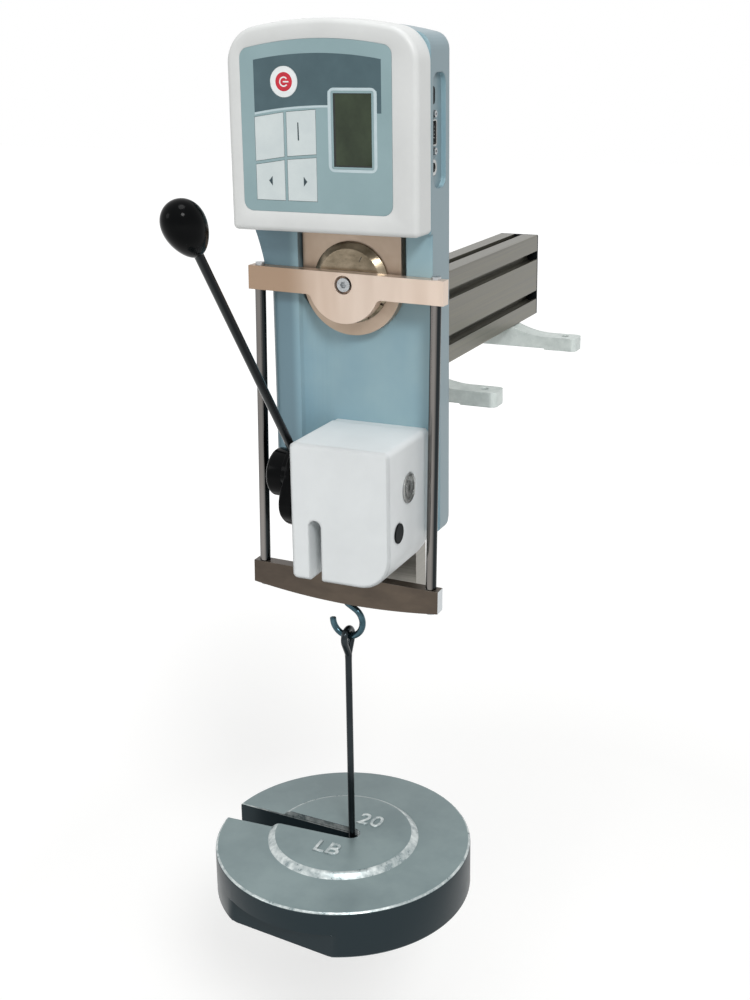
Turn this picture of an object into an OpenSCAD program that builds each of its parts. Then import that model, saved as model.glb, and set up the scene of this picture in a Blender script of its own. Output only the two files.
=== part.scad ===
// Wire crimp pull tester, hung on its calibration beam with a slotted dead weight.
// +Z is up, +Y runs along the beam away from the operator, and the origin is the
// centre of the four bench bolt holes, on the bench plane.

/* [Beam] */
// Width of the T-slot beam
beam_w = 38.1; // [36:0.1:42]
// Height of the T-slot beam
beam_h = 76.2; // [72:0.1:80]
// Length of the T-slot beam
beam_l = 323.5; // [300:0.5:360]
// Distance from the middle of the bolt pattern to the beam's front end
beam_front = 160; // [150:0.5:168]
// Width of a T-slot's mouth
slot_w = 8.2; // [7:0.1:9]
// Depth of a T-slot
slot_d = 9.5; // [8.5:0.1:10]
// Thickness of the lips over a T-slot
slot_lip = 2.6; // [2:0.1:3]
// Inner width of a T-slot
slot_in_w = 14.6; // [12:0.1:15.5]
// Diameter of the bore in each half of the beam
beam_bore_d = 8.1; // [7:0.1:8.6]
// Thickness of the beam's end cap
cap_t = 2.5; // [1.5:0.1:4]

/* [Feet] */
// Length of a foot across the beam
foot_l = 158; // [152:1:170]
// Width of a foot along the beam
foot_w = 21; // [19:0.5:26]
// Height of a foot under the beam
foot_h = 19; // [17:0.5:22]
// Height of a foot at its ends
foot_end_h = 12; // [10:0.5:14]
// Distance between the two feet, centre to centre
foot_gap = 213; // [190:1:230]
// Distance between a foot's two bolt holes
foot_hole_gap = 132; // [124:1:138]
// Diameter of a bench bolt hole
foot_hole_d = 6.6; // [5:0.1:8]
// Length of the pad at each end of a foot's underside
foot_pad_l = 29; // [24:0.5:34]
// Height of the relief between the pads
foot_relief = 1.2; // [0.6:0.1:2]

/* [Mounting bar] */
// Width of the mounting bar
bar_w = 76.2; // [70:0.1:84]
// Thickness of the mounting bar
bar_t = 19; // [16:0.5:22]
// Height of the mounting bar's top above the bench plane
bar_top = 110; // [107:0.5:114]
// Depth of the mounting bar's foot below the bench plane
bar_drop = 140; // [125:1:155]

/* [Housing] */
// Width of the housing
body_w = 130; // [128:0.5:132]
// Depth of the lower slab
slab_t = 17.5; // [16.5:0.5:20]
// Depth of the head behind the console
head_t = 33.5; // [32.5:0.5:36]
// Width of the raised left wall's flat front
rib_w = 24; // [22:0.5:25]
// Depth of the housing's foot below the bench plane
body_drop = 77; // [75:0.5:80]
// How far the housing's top lies below the console's
top_step = 1.9; // [0.9:0.1:4.4]
// Wall thickness of the housing
wall = 3; // [2.4:0.1:3.4]
// Thickness of the back cover
back_t = 3; // [2.4:0.1:3.4]

/* [Console] */
// Width of the console
console_w = 144.5; // [143:0.5:146]
// Depth of the console
console_t = 22.5; // [21:0.5:25]
// Height of the console's lower edge above the bench plane
console_z = 146; // [145:0.5:148]
// Height of the console's top above the bench plane
console_top = 290.4; // [290:0.1:292]
// Radius of the console's upper corners
console_r = 25; // [21:0.5:28]
// Radius of the arch over the console
arch_r = 270; // [250:1:320]
// Wall thickness of the console
console_wall = 3; // [2.8:0.1:3.4]
// Width of the label
label_w = 114.8; // [113:0.1:117]
// Height of the label at its middle
label_h = 116.8; // [115:0.1:119]
// Thickness of the label
label_t = 0.6; // [0.4:0.05:0.8]
// Width of the display glass
lcd_w = 28.3; // [26:0.1:29.5]
// Height of the display glass
lcd_h = 48.7; // [46:0.1:50]
// Diameter of the power key
power_d = 20.8; // [18:0.1:22]
// Width of a square key
key_w = 22.4; // [20:0.1:23]
// Travel of a key
key_travel = 0.5; // [0.3:0.05:0.6]

/* [Disc] */
// Height of the disc's axis above the bench plane
disc_z = 108; // [106.5:0.5:109.5]
// Radius of the terminal disc
disc_r = 29.5; // [28:0.1:31]
// Thickness of the terminal disc
disc_t = 4.5; // [4:0.1:5]
// Radius of the plate behind the disc
plate_r = 39; // [38:0.5:40]
// Thickness of the plate behind the disc
plate_t = 8; // [7:0.1:9]

/* [Yoke] */
// Length of the yoke's bars
yoke_l = 153.6; // [152:0.1:158]
// Height of the yoke's bars
yoke_h = 17.5; // [16:0.5:19]
// Thickness of the yoke's bars
yoke_t = 9.5; // [9:0.1:10]
// Distance between the yoke's rods
rod_gap = 139; // [138.6:0.1:141]
// Diameter of the yoke's rods
rod_d = 8; // [7:0.1:8.2]
// Distance from the grip block's bottom down to the middle of the lower bar
yoke_clear = 23.25; // [22:0.05:26]
// Radius of the upper bar's lobe
lobe_r = 28; // [26:0.5:29]
// Depth of the arch under the lower bar
arch_drop = 5.5; // [4:0.1:7]
// Angle at which the yoke hangs
yoke_tilt = 1.1; // [0:0.1:1.2]

/* [Hook and hanger] */
// Diameter of the hook's wire
hook_d = 5; // [4.4:0.1:5.4]
// Radius of the hook's bowl, at the middle of the wire
hook_r = 12.5; // [11.5:0.1:14]
// Distance from the lower bar down to the middle of the bowl
hook_drop = 15.5; // [15:0.1:18]
// Diameter of the hanger's wire
hanger_d = 5.3; // [4.4:0.1:5.4]
// Radius of the hanger's eye, at the middle of the wire
eye_r = 8.5; // [7.5:0.1:10]
// Height of the hanger's eye
eye_h = 21; // [20:0.5:26]
// Diameter of the hanger's plate
hanger_plate_d = 64; // [50:1:80]
// Thickness of the hanger's plate
hanger_plate_t = 6; // [4:0.5:8]

/* [Weight] */
// Radius of the weight
weight_r = 102; // [95:1:110]
// Thickness of the weight
weight_t = 38.5; // [34:0.5:44]
// Depth of the weight's top below the bench plane
weight_drop = 341; // [330:1:350]
// Radius of the weight's raised boss
boss_r = 60.3; // [54:0.1:64]
// Height of the weight's raised boss
boss_h = 4.5; // [3:0.1:6]
// Width of the weight's slot at its inner end
slot_end_w = 14.4; // [12:0.1:16]
// Width of the weight's slot at the rim
slot_rim_w = 24; // [20:0.5:28]
// Depth of the flat on the lower front of the weight
flat_d = 12; // [8:0.5:14]

/* [Grip block] */
// Width of the grip block
block_w = 77.2; // [76:0.1:79]
// Height of the grip block
block_h = 102; // [101:0.5:104]
// Depth of the grip block in front of the housing
block_t = 73; // [72:0.5:76]
// Height of the grip block's top above the bench plane
block_top = 3; // [2:0.5:4]
// Distance of the block's left face from the middle of the housing
block_left = 20.7; // [20.4:0.1:21]
// Wall thickness of the grip block
block_wall = 4; // [3.6:0.1:4.2]
// Thickness of the grip block's base plate
base_t = 8; // [7:0.5:8.5]
// Width of the wire slot
wire_slot_w = 10; // [8:0.5:11]
// Height of the wire slot
wire_slot_h = 46; // [44:0.5:48]
// Radius of the block's lower right edge
block_r = 24; // [20:0.5:25]

/* [Mechanism] */
// Depth of the lever shaft below the bench plane
shaft_drop = 31.7; // [31:0.1:32.4]
// Distance of the lever shaft in front of the housing's face
shaft_out = 37.7; // [37.2:0.1:38.4]
// Diameter of the lever shaft
shaft_d = 12; // [10:0.1:12.6]
// Tooth module of the rack and pinion
gear_module = 1; // [0.98:0.01:1.01]
// Teeth on the pinion
pinion_teeth = 32; // [31:1:32]
// Width of the pinion and of the rack
gear_w = 10; // [8:0.5:11]
// Travel of the carriage
carriage_travel = 26.5; // [20:0.5:26.5]
// Height of the carriage
carriage_h = 18; // [16:0.5:18]
// Diameter of the guide rods
guide_d = 6; // [5:0.1:6.4]
// Radius of a grip cam
cam_r = 7.2; // [6.8:0.1:7.3]
// Thickness of a grip cam
cam_t = 8; // [6:0.5:9]

/* [Lever] */
// Length of the lever from the shaft's axis to the knob's middle
lever_l = 246; // [220:1:260]
// Diameter of the lever rod
lever_d = 6.35; // [5.5:0.05:7]
// Angle of the lever at rest, up from the beam's direction
lever_angle = 125.9; // [120:0.1:130]
// Radius of the hub's flange
flange_r = 38; // [36:0.5:38.5]
// Radius of the hub's boss
hub_r = 18; // [16:0.5:19]
// Diameter of the knob
knob_d = 28; // [24:0.5:30]
// Length of the knob
knob_l = 39; // [35:0.5:42]

/* [Clearances] */
// Radial clearance of a running fit
run_c = 0.05; // [0.02:0.01:0.08]
// Distance between pieces that move past each other
gap = 0.3; // [0.25:0.05:0.4]
// Clearance round a piece that drops into an opening
fit_c = 0.25; // [0.15:0.05:0.3]

/* [Hidden] */
$fn = 64;

// One overrun for every cut
over = 1;

// Planes along Y, from the beam to the front of the console
bar_y = -beam_front;
body_y = bar_y - bar_t;
floor_y = body_y - slab_t;
head_y = body_y - head_t;
console_y = head_y - console_t;
web_y = floor_y + wall;
cover_y = body_y - back_t;
board_t = 1.6;
lcd_module_t = 5.4;
board_y = console_y + console_wall + lcd_module_t;

// Planes of the plate, the disc and the yoke
plate_y = floor_y - gap - plate_t;
disc_y = plate_y - gap - disc_t;
yoke_y = disc_y - gap - yoke_t;
yoke_mid_y = yoke_y + yoke_t / 2;
rib_y = disc_y;

// Heights of the beam's two halves
cell_h = beam_h / 4;
beam_z = foot_h;
core_z = [beam_z + cell_h, beam_z + beam_h - cell_h];

// Housing outline
half_w = body_w / 2;
body_top = console_top - top_step;
head_step = 1.5;
head_left = half_w - console_w + head_step;
console_left = half_w - console_w;
console_x = (console_left + half_w) / 2;
corner_r = 4;
head_corner_r = 12;
flare_r = 170;
flare_z = 85;
head_z = 104;
rib_z = -60;
rib_corner_r = 7;
slope_w = 21;
rear_edge_r = 10;
recess_gap = 1.5;
trough_right = 45;

// Connector pocket in the housing's right side
pocket_z = 176.4;
pocket_h = 78;
pocket_w = 23;
pocket_d = 3.5;
pocket_r = 8;
pocket_back = 6.5;
pocket_wall = 2.6;
port_in = 22.5;
port_y = body_y - port_in;
serial_z = 214.3;
usb_z = 239;
jack_z = 190.7;
serial_w = 8;
serial_h = 17.6;
jack_screw_gap = 25;
jack_screw_d = 5;
usb_w = 4.4;
usb_h = 10.5;
jack_d = 11;
port_board_in = 15;
port_board_x = half_w - port_board_in;

// Label, display and keys, seen from the front
label_x = -11.1;
label_z = 160.3;
label_r = 7;
label_arch_x = console_x;
lcd_x = 17.05;
lcd_z = 216.85;
lcd_frame = 3.9;
lcd_ledge = 2;
lcd_window_t = 1.2;
power_x = -34.4;
power_z = 248.7;
key_gap = 2.4;
key_left_x = -58;
key_low_z = 168.2;
key_mid_z = 198.3;
key_top_z = 230.7;
key_arch_x = 4.4;
key_arch_r = 330;
key_t = 1.2;
stem_d = 8;
switch_w = 6;
post_d = 8;
post_in = [9.5, 8];
post_up = [10, 28];
post_x = [console_left + post_in[0], half_w - post_in[1]];
post_z = [console_z + post_up[0], console_top - post_up[1]];
screw_d = 3;
board_post_x = [-61, 41];
board_post_z = [164, 268];

// Disc, pin and load cell
pin_d = 10;
centre_screw_d = 6;
centre_head_d = 10;
centre_sink_d = 13.6;
centre_sink = 7;
load_cell_w = 25;
load_cell_h = 70;
load_cell_z = 151;
cell_foot_h = 18;
plate_over = 4;
plate_top = load_cell_z + cell_foot_h + plate_over;

// Grip block
block_y = floor_y - block_t;
base_y = floor_y - base_t;
block_x0 = -block_left;
block_x1 = block_x0 + block_w;
block_z0 = block_top - block_h;
inner_x0 = block_x0 + block_wall;
inner_x1 = block_x1 - block_wall;
inner_z0 = block_z0 + block_wall;
inner_z1 = block_top - block_wall;
wire_slot_x = -1.6;
channel_d = 28;
edge_r = 4;
shaft_y = floor_y - shaft_out;
shaft_z = -shaft_drop;
bush_d = 16;
bush_flange_d = 20;
bush_flange_t = 1.5;
bush_boss_l = 6;
bush_boss_d = 28;
end_cap_d = 21.6;
end_cap_t = 4.4;
plug_d = 13.7;
plug_out = 56.7;
plug_y = floor_y - plug_out;
plug_z = -59.7;
base_screw_d = 4;
base_screw_in = 3.4;
base_screw_x = [inner_x0 + base_screw_in, inner_x1 - base_screw_in];
base_screw_z = [inner_z1 - base_screw_in, -60];

// Carriage, rack and cams
pitch_r = gear_module * pinion_teeth / 2;
tooth_pitch = PI * gear_module;
tooth_tip = 0.8 * gear_module;
tooth_root = 1.2 * gear_module;
backlash = 0.16 * gear_module;
pressure_angle = 20;
gear_x = 22;
tooth_room = 1.5;
carriage_room = 3;
carriage_top = shaft_z - pitch_r - tooth_tip - tooth_room;
carriage_y = base_y - carriage_room;
carriage_t = 11.5;
carriage_x0 = -14;
carriage_x1 = 35;
guide_x = [-9.5, 30];
guide_y = carriage_y - guide_d * 0.75;
guide_sink = 2;
rack_t = 7;
rack_y = shaft_y - pitch_r;
cam_room = 0.6;
cam_x = cam_r + cam_room;
cam_off = 1.5;
cam_z = carriage_top - carriage_h / 2;
cam_pin_d = 4;
cam_pin_sink = 3.2;
spring_t = 2;
spring_d = 7;
cam_y = carriage_y - carriage_t - spring_t - gap;

// Lever and hub
hub_x0 = -51;
flange_x0 = -32.5;
flange_room = 1.3;
flange_x1 = block_x0 - flange_room;
lever_x = (flange_x0 + flange_x1) / 2;
lever_sink = 14;
hub_relief = 0.8;
flange_short_share = 0.6;
knob_bore = 18;

// Hook, hanger and weight, as the tilted yoke leaves them
yoke_drop = disc_z - block_z0 + yoke_clear;
bottom_z = disc_z - yoke_drop;
arch_z = bottom_z - yoke_h / 2 - arch_drop;
hook_z = arch_z - hook_drop;
hook_bend_r = 3;
hook_start_angle = 60;
hook_sweep = 240;
hook_sink = 1.4;
hook_line_h = (arch_z + hook_sink - hook_bend_r * sin(hook_start_angle))
    - (hook_z + hook_r * sin(hook_start_angle));
hook_x = hook_bend_r * (1 - cos(hook_start_angle))
    + hook_line_h * tan(hook_start_angle) - hook_r * cos(hook_start_angle);
bowl_x = hook_x * cos(yoke_tilt) + (hook_z - disc_z) * sin(yoke_tilt);
bowl_z = disc_z - hook_x * sin(yoke_tilt) + (hook_z - disc_z) * cos(yoke_tilt);
eye_z = bowl_z - hook_r + hook_d / 2 + gap + hanger_d / 2;
weight_off = 8;
weight_back = 0.6;
weight_x = bowl_x - weight_off;
weight_y = yoke_mid_y + weight_back;
weight_top = -weight_drop;
weight_bottom = weight_top - weight_t;
slot_end_off = 1;
slot_end_x = bowl_x - slot_end_off;
boss_slope = 8;
flat_angle = -6;

// Points of an arc, counted from angle a to angle b
function arc(c, r, a, b, n = 6) =
    [for (i = [0:n]) c + r * [cos(a + (b - a) * i / n), sin(a + (b - a) * i / n)]];

// A rectangle with rounded lower corners and an arched top, drawn inwards by i
function arched(x0, x1, z0, z1, rb, rt, i) =
    let (cz = z1 - arch_r,
        ar = acos((x1 - rt - label_arch_x) / (arch_r - rt)),
        al = acos((x0 + rt - label_arch_x) / (arch_r - rt)),
        pr = [x1 - rt, cz + (arch_r - rt) * sin(ar)],
        pl = [x0 + rt, cz + (arch_r - rt) * sin(al)])
    concat(arc([x0 + rb, z0 + rb], rb - i, 180, 270),
        arc([x1 - rb, z0 + rb], rb - i, 270, 360),
        arc(pr, rt - i, 0, ar),
        arc([label_arch_x, cz], arch_r - i, ar, al, 14),
        arc(pl, rt - i, al, 180));

// The housing seen from the front: its left side flares out towards the console
function body_outline(i) =
    let (head = arched(head_left, half_w, -body_drop, body_top, corner_r, head_corner_r, i),
        af = acos((head_left + half_w + flare_r + i) / (flare_r + i)))
    concat(arc([-half_w + corner_r, -body_drop + corner_r], corner_r - i, 180, 270),
        [for (k = [7:len(head) - 1]) head[k]],
        arc([-half_w - flare_r, flare_z], flare_r + i, af, 0, 10));

// Solids drawn from the front, from the side and along each axis
module from_front(y, t) translate([0, y, 0]) rotate([90, 0, 0]) linear_extrude(t) children();
module from_side(x, l) translate([x, 0, 0]) rotate([90, 0, 90]) linear_extrude(l) children();
module rod_x(p, l, d) translate(p) rotate([0, 90, 0]) cylinder(h = l, d = d);
module rod_y(p, l, d) translate(p) rotate([-90, 0, 0]) cylinder(h = l, d = d);
module rod_z(p, l, d) translate(p) cylinder(h = l, d = d);
module block(x0, x1, y0, y1, z0, z1)
    translate([x0, y0, z0]) cube([x1 - x0, y1 - y0, z1 - z0]);
module soft_rect(w, h, r)
    polygon(concat(arc([w / 2 - r, h / 2 - r], r, 0, 90), arc([r - w / 2, h / 2 - r], r, 90, 180),
        arc([r - w / 2, r - h / 2], r, 180, 270), arc([w / 2 - r, r - h / 2], r, 270, 360)));

// Beam

module t_slot(w)
    translate([w / 2 - slot_d, 0])
        union() {
            polygon([[0, -slot_w / 2], [slot_d - slot_lip - (slot_in_w - slot_w) / 2, -slot_in_w / 2],
                [slot_d - slot_lip, -slot_in_w / 2], [slot_d - slot_lip, slot_in_w / 2],
                [slot_d - slot_lip - (slot_in_w - slot_w) / 2, slot_in_w / 2], [0, slot_w / 2]]);
            translate([0, -slot_w / 2]) square([slot_d + over, slot_w]);
        }

module beam_profile()
    difference() {
        soft_rect(beam_w, beam_h, slot_lip / 2);
        for (s = [-1, 1], side = [0, 180])
            translate([0, s * cell_h]) rotate(side) t_slot(beam_w);
        for (side = [90, 270]) rotate(side) t_slot(beam_h);
        for (s = [-1, 1]) translate([0, s * cell_h]) circle(d = beam_bore_d);
        soft_rect(beam_w / 2, cell_h - slot_lip * 2, slot_lip / 2);
    }

module beam()
    color("#9a998d")
        translate([0, bar_y + beam_l, beam_z + beam_h / 2]) rotate([90, 0, 0])
            linear_extrude(beam_l) beam_profile();

module beam_end_cap()
    color("#1c1d1f") {
        translate([0, bar_y + beam_l + cap_t, beam_z + beam_h / 2]) rotate([90, 0, 0])
            linear_extrude(cap_t) soft_rect(beam_w, beam_h, slot_lip / 2);
        for (z = core_z)
            rod_y([0, bar_y + beam_l - cap_t * 3, z], cap_t * 3 + run_c, beam_bore_d - run_c * 2);
    }

// Feet

foot_shoulder = foot_l / 2 - foot_pad_l;
foot_step_share = 0.12;
foot_corner_r = 5;
tnut_w = 12.6;
tnut_l = 16;
tnut_t = 4;
foot_screw_d = 6;

function foot_top(n = 8) =
    [for (i = [0:n]) [beam_w / 2 + (foot_shoulder - beam_w / 2) * i / n,
        foot_end_h + (foot_h - foot_end_h) * (foot_step_share * (1 - i / n)
            + (1 - foot_step_share) * pow(1 - i / n, 2))]];

module foot_side()
    let (top = foot_top(), n = len(top) - 1)
    polygon(concat([[foot_l / 2, 0], [foot_l / 2, foot_end_h]],
        [for (i = [n:-1:0]) top[i]], [for (p = top) [-p[0], p[1]]],
        [[-foot_l / 2, foot_end_h], [-foot_l / 2, 0], [-foot_shoulder, 0],
            [-foot_shoulder + foot_relief, foot_relief], [foot_shoulder - foot_relief, foot_relief],
            [foot_shoulder, 0]]));

module foot(y)
    color("#a9b0ae")
        translate([0, y, 0]) difference() {
            intersection() {
                from_front(foot_w / 2, foot_w) foot_side();
                linear_extrude(foot_h) soft_rect(foot_l, foot_w, foot_corner_r);
            }
            for (s = [-1, 1])
                rod_z([s * foot_hole_gap / 2, 0, -over], foot_h + over * 2, foot_hole_d);
            rod_z([0, 0, -over], foot_h + over * 2, foot_screw_d + fit_c * 2);
            rod_z([0, 0, -over], foot_h / 2 + over, foot_screw_d * 2);
        }

module front_foot() foot(-foot_gap / 2);
module rear_foot() foot(foot_gap / 2);

module foot_screws()
    color("#8c8f92")
        for (s = [-1, 1]) {
            rod_z([0, s * foot_gap / 2, foot_h / 2], foot_h / 2 + slot_lip + tnut_t, foot_screw_d);
            difference() {
                rod_z([0, s * foot_gap / 2, foot_h / 2 - foot_screw_d * 0.6], foot_screw_d * 0.6,
                    foot_screw_d * 1.6);
                rod_z([0, s * foot_gap / 2, foot_h / 2 - foot_screw_d * 0.6 - over],
                    foot_screw_d * 0.3 + over, foot_screw_d * 0.8, $fn = 6);
            }
        }

module foot_tnuts()
    color("#6f7274")
        for (s = [-1, 1])
            difference() {
                translate([0, s * foot_gap / 2, beam_z + slot_lip])
                    linear_extrude(tnut_t) square([tnut_w, tnut_l], center = true);
                rod_z([0, s * foot_gap / 2, beam_z], slot_d, foot_screw_d + run_c * 2);
            }

// Mounting bar and its screws

tester_screw_x = 28;
tester_screw_z = [-50, 100];
tester_screw_d = 5;
beam_screw_d = 8;

module mount_bar()
    color("#b3b1a8")
        difference() {
            from_front(bar_y, bar_t)
                translate([0, (bar_top - bar_drop) / 2])
                    soft_rect(bar_w, bar_top + bar_drop, slot_lip / 2);
            for (z = core_z) {
                rod_y([0, body_y - over, z], bar_t + over * 2, beam_screw_d + fit_c * 2);
                rod_y([0, body_y - over, z], beam_screw_d + over, beam_screw_d * 1.8);
            }
            for (s = [-1, 1], z = tester_screw_z)
                rod_y([s * tester_screw_x, body_y - over, z], bar_t + over * 2,
                    tester_screw_d + fit_c * 2);
        }

module beam_screws()
    color("#55585a")
        for (z = core_z) {
            rod_y([0, body_y + beam_screw_d, z], beam_screw_d * 4, beam_bore_d - run_c * 2);
            difference() {
                rod_y([0, body_y + fit_c, z], beam_screw_d - fit_c, beam_screw_d * 1.6);
                rod_y([0, body_y - over, z], beam_screw_d / 2 + over, beam_screw_d * 0.8, $fn = 6);
            }
        }

module tester_screws()
    color("#55585a")
        for (s = [-1, 1], z = tester_screw_z) {
            rod_y([s * tester_screw_x, web_y + fit_c, z], bar_y - web_y - fit_c, tester_screw_d);
            difference() {
                rod_y([s * tester_screw_x, bar_y, z], tester_screw_d * 0.6, tester_screw_d * 1.8);
                rod_y([s * tester_screw_x, bar_y + tester_screw_d * 0.3, z], tester_screw_d,
                    tester_screw_d * 0.6, $fn = 6);
            }
        }

// Housing

cavity_z = -body_drop + rear_edge_r + over;

module cavity_outline(i)
    intersection() {
        polygon(body_outline(i));
        translate([-body_w, cavity_z + i - wall]) square([body_w * 2, body_top + body_drop]);
    }

// The raised left wall in plan: rounded outer edge, flat front and a hollow slope to the floor
slope_drop = floor_y - rib_y;
slope_r = (slope_w * slope_w + slope_drop * slope_drop) / (2 * slope_drop);
slope_x = -half_w + rib_w + slope_w;

module rib_plan()
    polygon(concat([[slope_x, floor_y + wall / 2], [-half_w, floor_y + wall / 2]],
        arc([-half_w + rib_corner_r, rib_y + rib_corner_r], rib_corner_r, 180, 270),
        arc([slope_x, floor_y - slope_r], slope_r, 90 + asin(slope_w / slope_r), 90, 8)));

module plate_recess(c)
    union() {
        translate([0, disc_z]) circle(plate_r + c);
        translate([-plate_r - c, disc_z]) square([plate_r * 2 + c * 2, console_z - disc_z + wall * 2]);
        translate([0, head_z]) square([trough_right, console_z - head_z + wall * 2]);
    }

module pocket_outline(c)
    translate([body_y - pocket_back - pocket_w / 2, pocket_z + pocket_h / 2])
        soft_rect(pocket_w + c * 2, pocket_h + c * 2, pocket_r + c);

module body_housing()
    color("#93b1bf")
        difference() {
            union() {
                difference() {
                    union() {
                        from_front(body_y, slab_t) polygon(body_outline(0));
                        for (step = [[rib_y, head_z], [head_y, console_z]])
                            from_front(body_y, body_y - step[0])
                                intersection() {
                                    polygon(body_outline(0));
                                    translate([-body_w, step[1]]) square([body_w * 2, body_top]);
                                }
                        translate([0, 0, rib_z]) linear_extrude(head_z - rib_z + over) rib_plan();
                    }
                    from_front(floor_y, head_t) plate_recess(recess_gap);
                    // Inside of the slab, of the head and of the raised wall
                    from_front(body_y + over, slab_t - wall + over) cavity_outline(wall);
                    from_front(floor_y, head_t)
                        intersection() {
                            polygon(body_outline(wall));
                            translate([-body_w, console_z + wall]) square([body_w * 2, body_top]);
                        }
                    block(-half_w + wall, -half_w + rib_w - wall, rib_y + wall, web_y + over,
                        rib_z + wall, console_z);
                    from_front(web_y + over, web_y - rib_y - wall + over)
                        intersection() {
                            polygon(body_outline(wall));
                            translate([-body_w, head_z + wall])
                                square([half_w + wall + over, console_z - head_z]);
                        }
                    block(trough_right + wall, half_w - wall, rib_y + wall, web_y + over,
                        head_z + wall, console_z);
                    // Windows in the web for the load cell and the wiring
                    from_front(web_y + over, wall + over * 2)
                        translate([0, load_cell_z + cell_foot_h / 2 + recess_gap])
                            square([load_cell_w, cell_foot_h + recess_gap * 2], center = true);
                    from_front(web_y + over, wall + over * 2)
                        translate([port_board_x - wall * 2, pocket_z])
                            square([half_w - pocket_d - pocket_wall - port_board_x + wall * 2, pocket_h]);
                }
                // Bosses for the tester, base and console screws
                for (s = [-1, 1], z = tester_screw_z)
                    rod_y([s * tester_screw_x, floor_y + wall / 2, z], slab_t - back_t - wall / 2,
                        tester_screw_d * 2.4);
                for (x = post_x, z = post_z)
                    rod_y([x, head_y, z], head_t - slab_t + wall / 2, post_d);
                // Wall behind the connector pocket
                intersection() {
                    from_side(half_w - pocket_d - pocket_wall, pocket_wall + pocket_d)
                        pocket_outline(wall);
                    block(0, half_w, head_y, body_y - back_t - fit_c, pocket_z - wall * 2, body_top);
                }
            }
            from_side(half_w - pocket_d, pocket_d + over) pocket_outline(0);
            // Round the housing's lower rear edge
            from_side(-body_w, body_w * 2)
                difference() {
                    translate([body_y - rear_edge_r, -body_drop - over])
                        square([rear_edge_r + over, rear_edge_r + over]);
                    translate([body_y - rear_edge_r, rear_edge_r - body_drop]) circle(rear_edge_r);
                }
            // Relief behind the hub's flange
            rod_x([flange_x0 - hub_relief * 2, shaft_y, shaft_z],
                -block_left - flange_x0 + hub_relief * 4, (flange_r + hub_relief) * 2);
            for (s = [-1, 1], z = tester_screw_z)
                rod_y([s * tester_screw_x, web_y, z], slab_t, tester_screw_d + run_c * 2);
            for (x = base_screw_x, z = base_screw_z)
                rod_y([x, floor_y - over, z], wall + over * 2, base_screw_d + fit_c * 2);
            for (x = post_x, z = post_z)
                rod_y([x, head_y - over, z], head_t, screw_d + fit_c * 2);
            for (s = [-1, 1])
                rod_y([s * load_cell_w / 4, floor_y - over, load_cell_z + load_cell_h - cell_foot_h / 2],
                    wall + over * 2, base_screw_d + fit_c * 2);
            // Openings for the connectors
            translate([half_w, port_y, 0]) {
                translate([0, 0, serial_z]) from_side(-wall * 3, wall * 4)
                    soft_rect(serial_w + fit_c * 2, serial_h + fit_c * 2, serial_w / 4);
                translate([0, 0, usb_z]) from_side(-wall * 3, wall * 4)
                    square([usb_w + fit_c * 2, usb_h + fit_c * 2], center = true);
                rod_x([-wall * 3, 0, jack_z], wall * 4, jack_d + fit_c * 2);
                for (s = [-1, 1])
                    rod_x([-wall * 3, 0, serial_z + s * jack_screw_gap / 2], wall * 4,
                        jack_screw_d * 0.6 + run_c * 2);
            }
        }

module back_cover()
    color("#7f9fae")
        difference() {
            from_front(body_y, back_t) cavity_outline(wall + fit_c);
            for (s = [-1, 1], z = tester_screw_z)
                rod_y([s * tester_screw_x, cover_y - over, z], back_t + over * 2,
                    tester_screw_d + fit_c * 2);
        }

// Console, label and keys

bezel_steps = 8;
bezel_edge_r = 4;

function key_arch(x, z) = z - pow(x - key_arch_x, 2) / (2 * key_arch_r);

// Columns and rows of the square keys, from the left and from the top
function key_x(c) = key_left_x + c * (key_w + key_gap);
function key_outline(c, r, i) =
    let (x0 = key_x(c) + i, x1 = key_x(c) + key_w - i,
        zt = r == 0 ? key_top_z : key_mid_z)
    [[x0, r == 0 ? key_arch(x0, key_mid_z + key_gap) + i : key_low_z + i],
        [x1, r == 0 ? key_arch(x1, key_mid_z + key_gap) + i : key_low_z + i],
        [x1, key_arch(x1, zt) - i], [x0, key_arch(x0, zt) - i]];
function key_centre(c, r) = [key_x(c) + key_w / 2,
    key_arch(key_x(c) + key_w / 2, r == 0 ? (key_top_z + key_mid_z + key_gap) / 2
        : (key_mid_z + key_low_z) / 2 + key_gap)];
key_places = [for (c = [0, 1], r = [0, 1]) [c, r]];

module label_outline(i)
    polygon(arched(label_x - label_w / 2, label_x + label_w / 2, label_z, label_z + label_h,
        label_r, label_r, i));

module all_keys(c) {
    for (k = key_places) polygon(key_outline(k[0], k[1], -c));
    translate([power_x, power_z]) circle(power_d / 2 + c);
}

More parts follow.
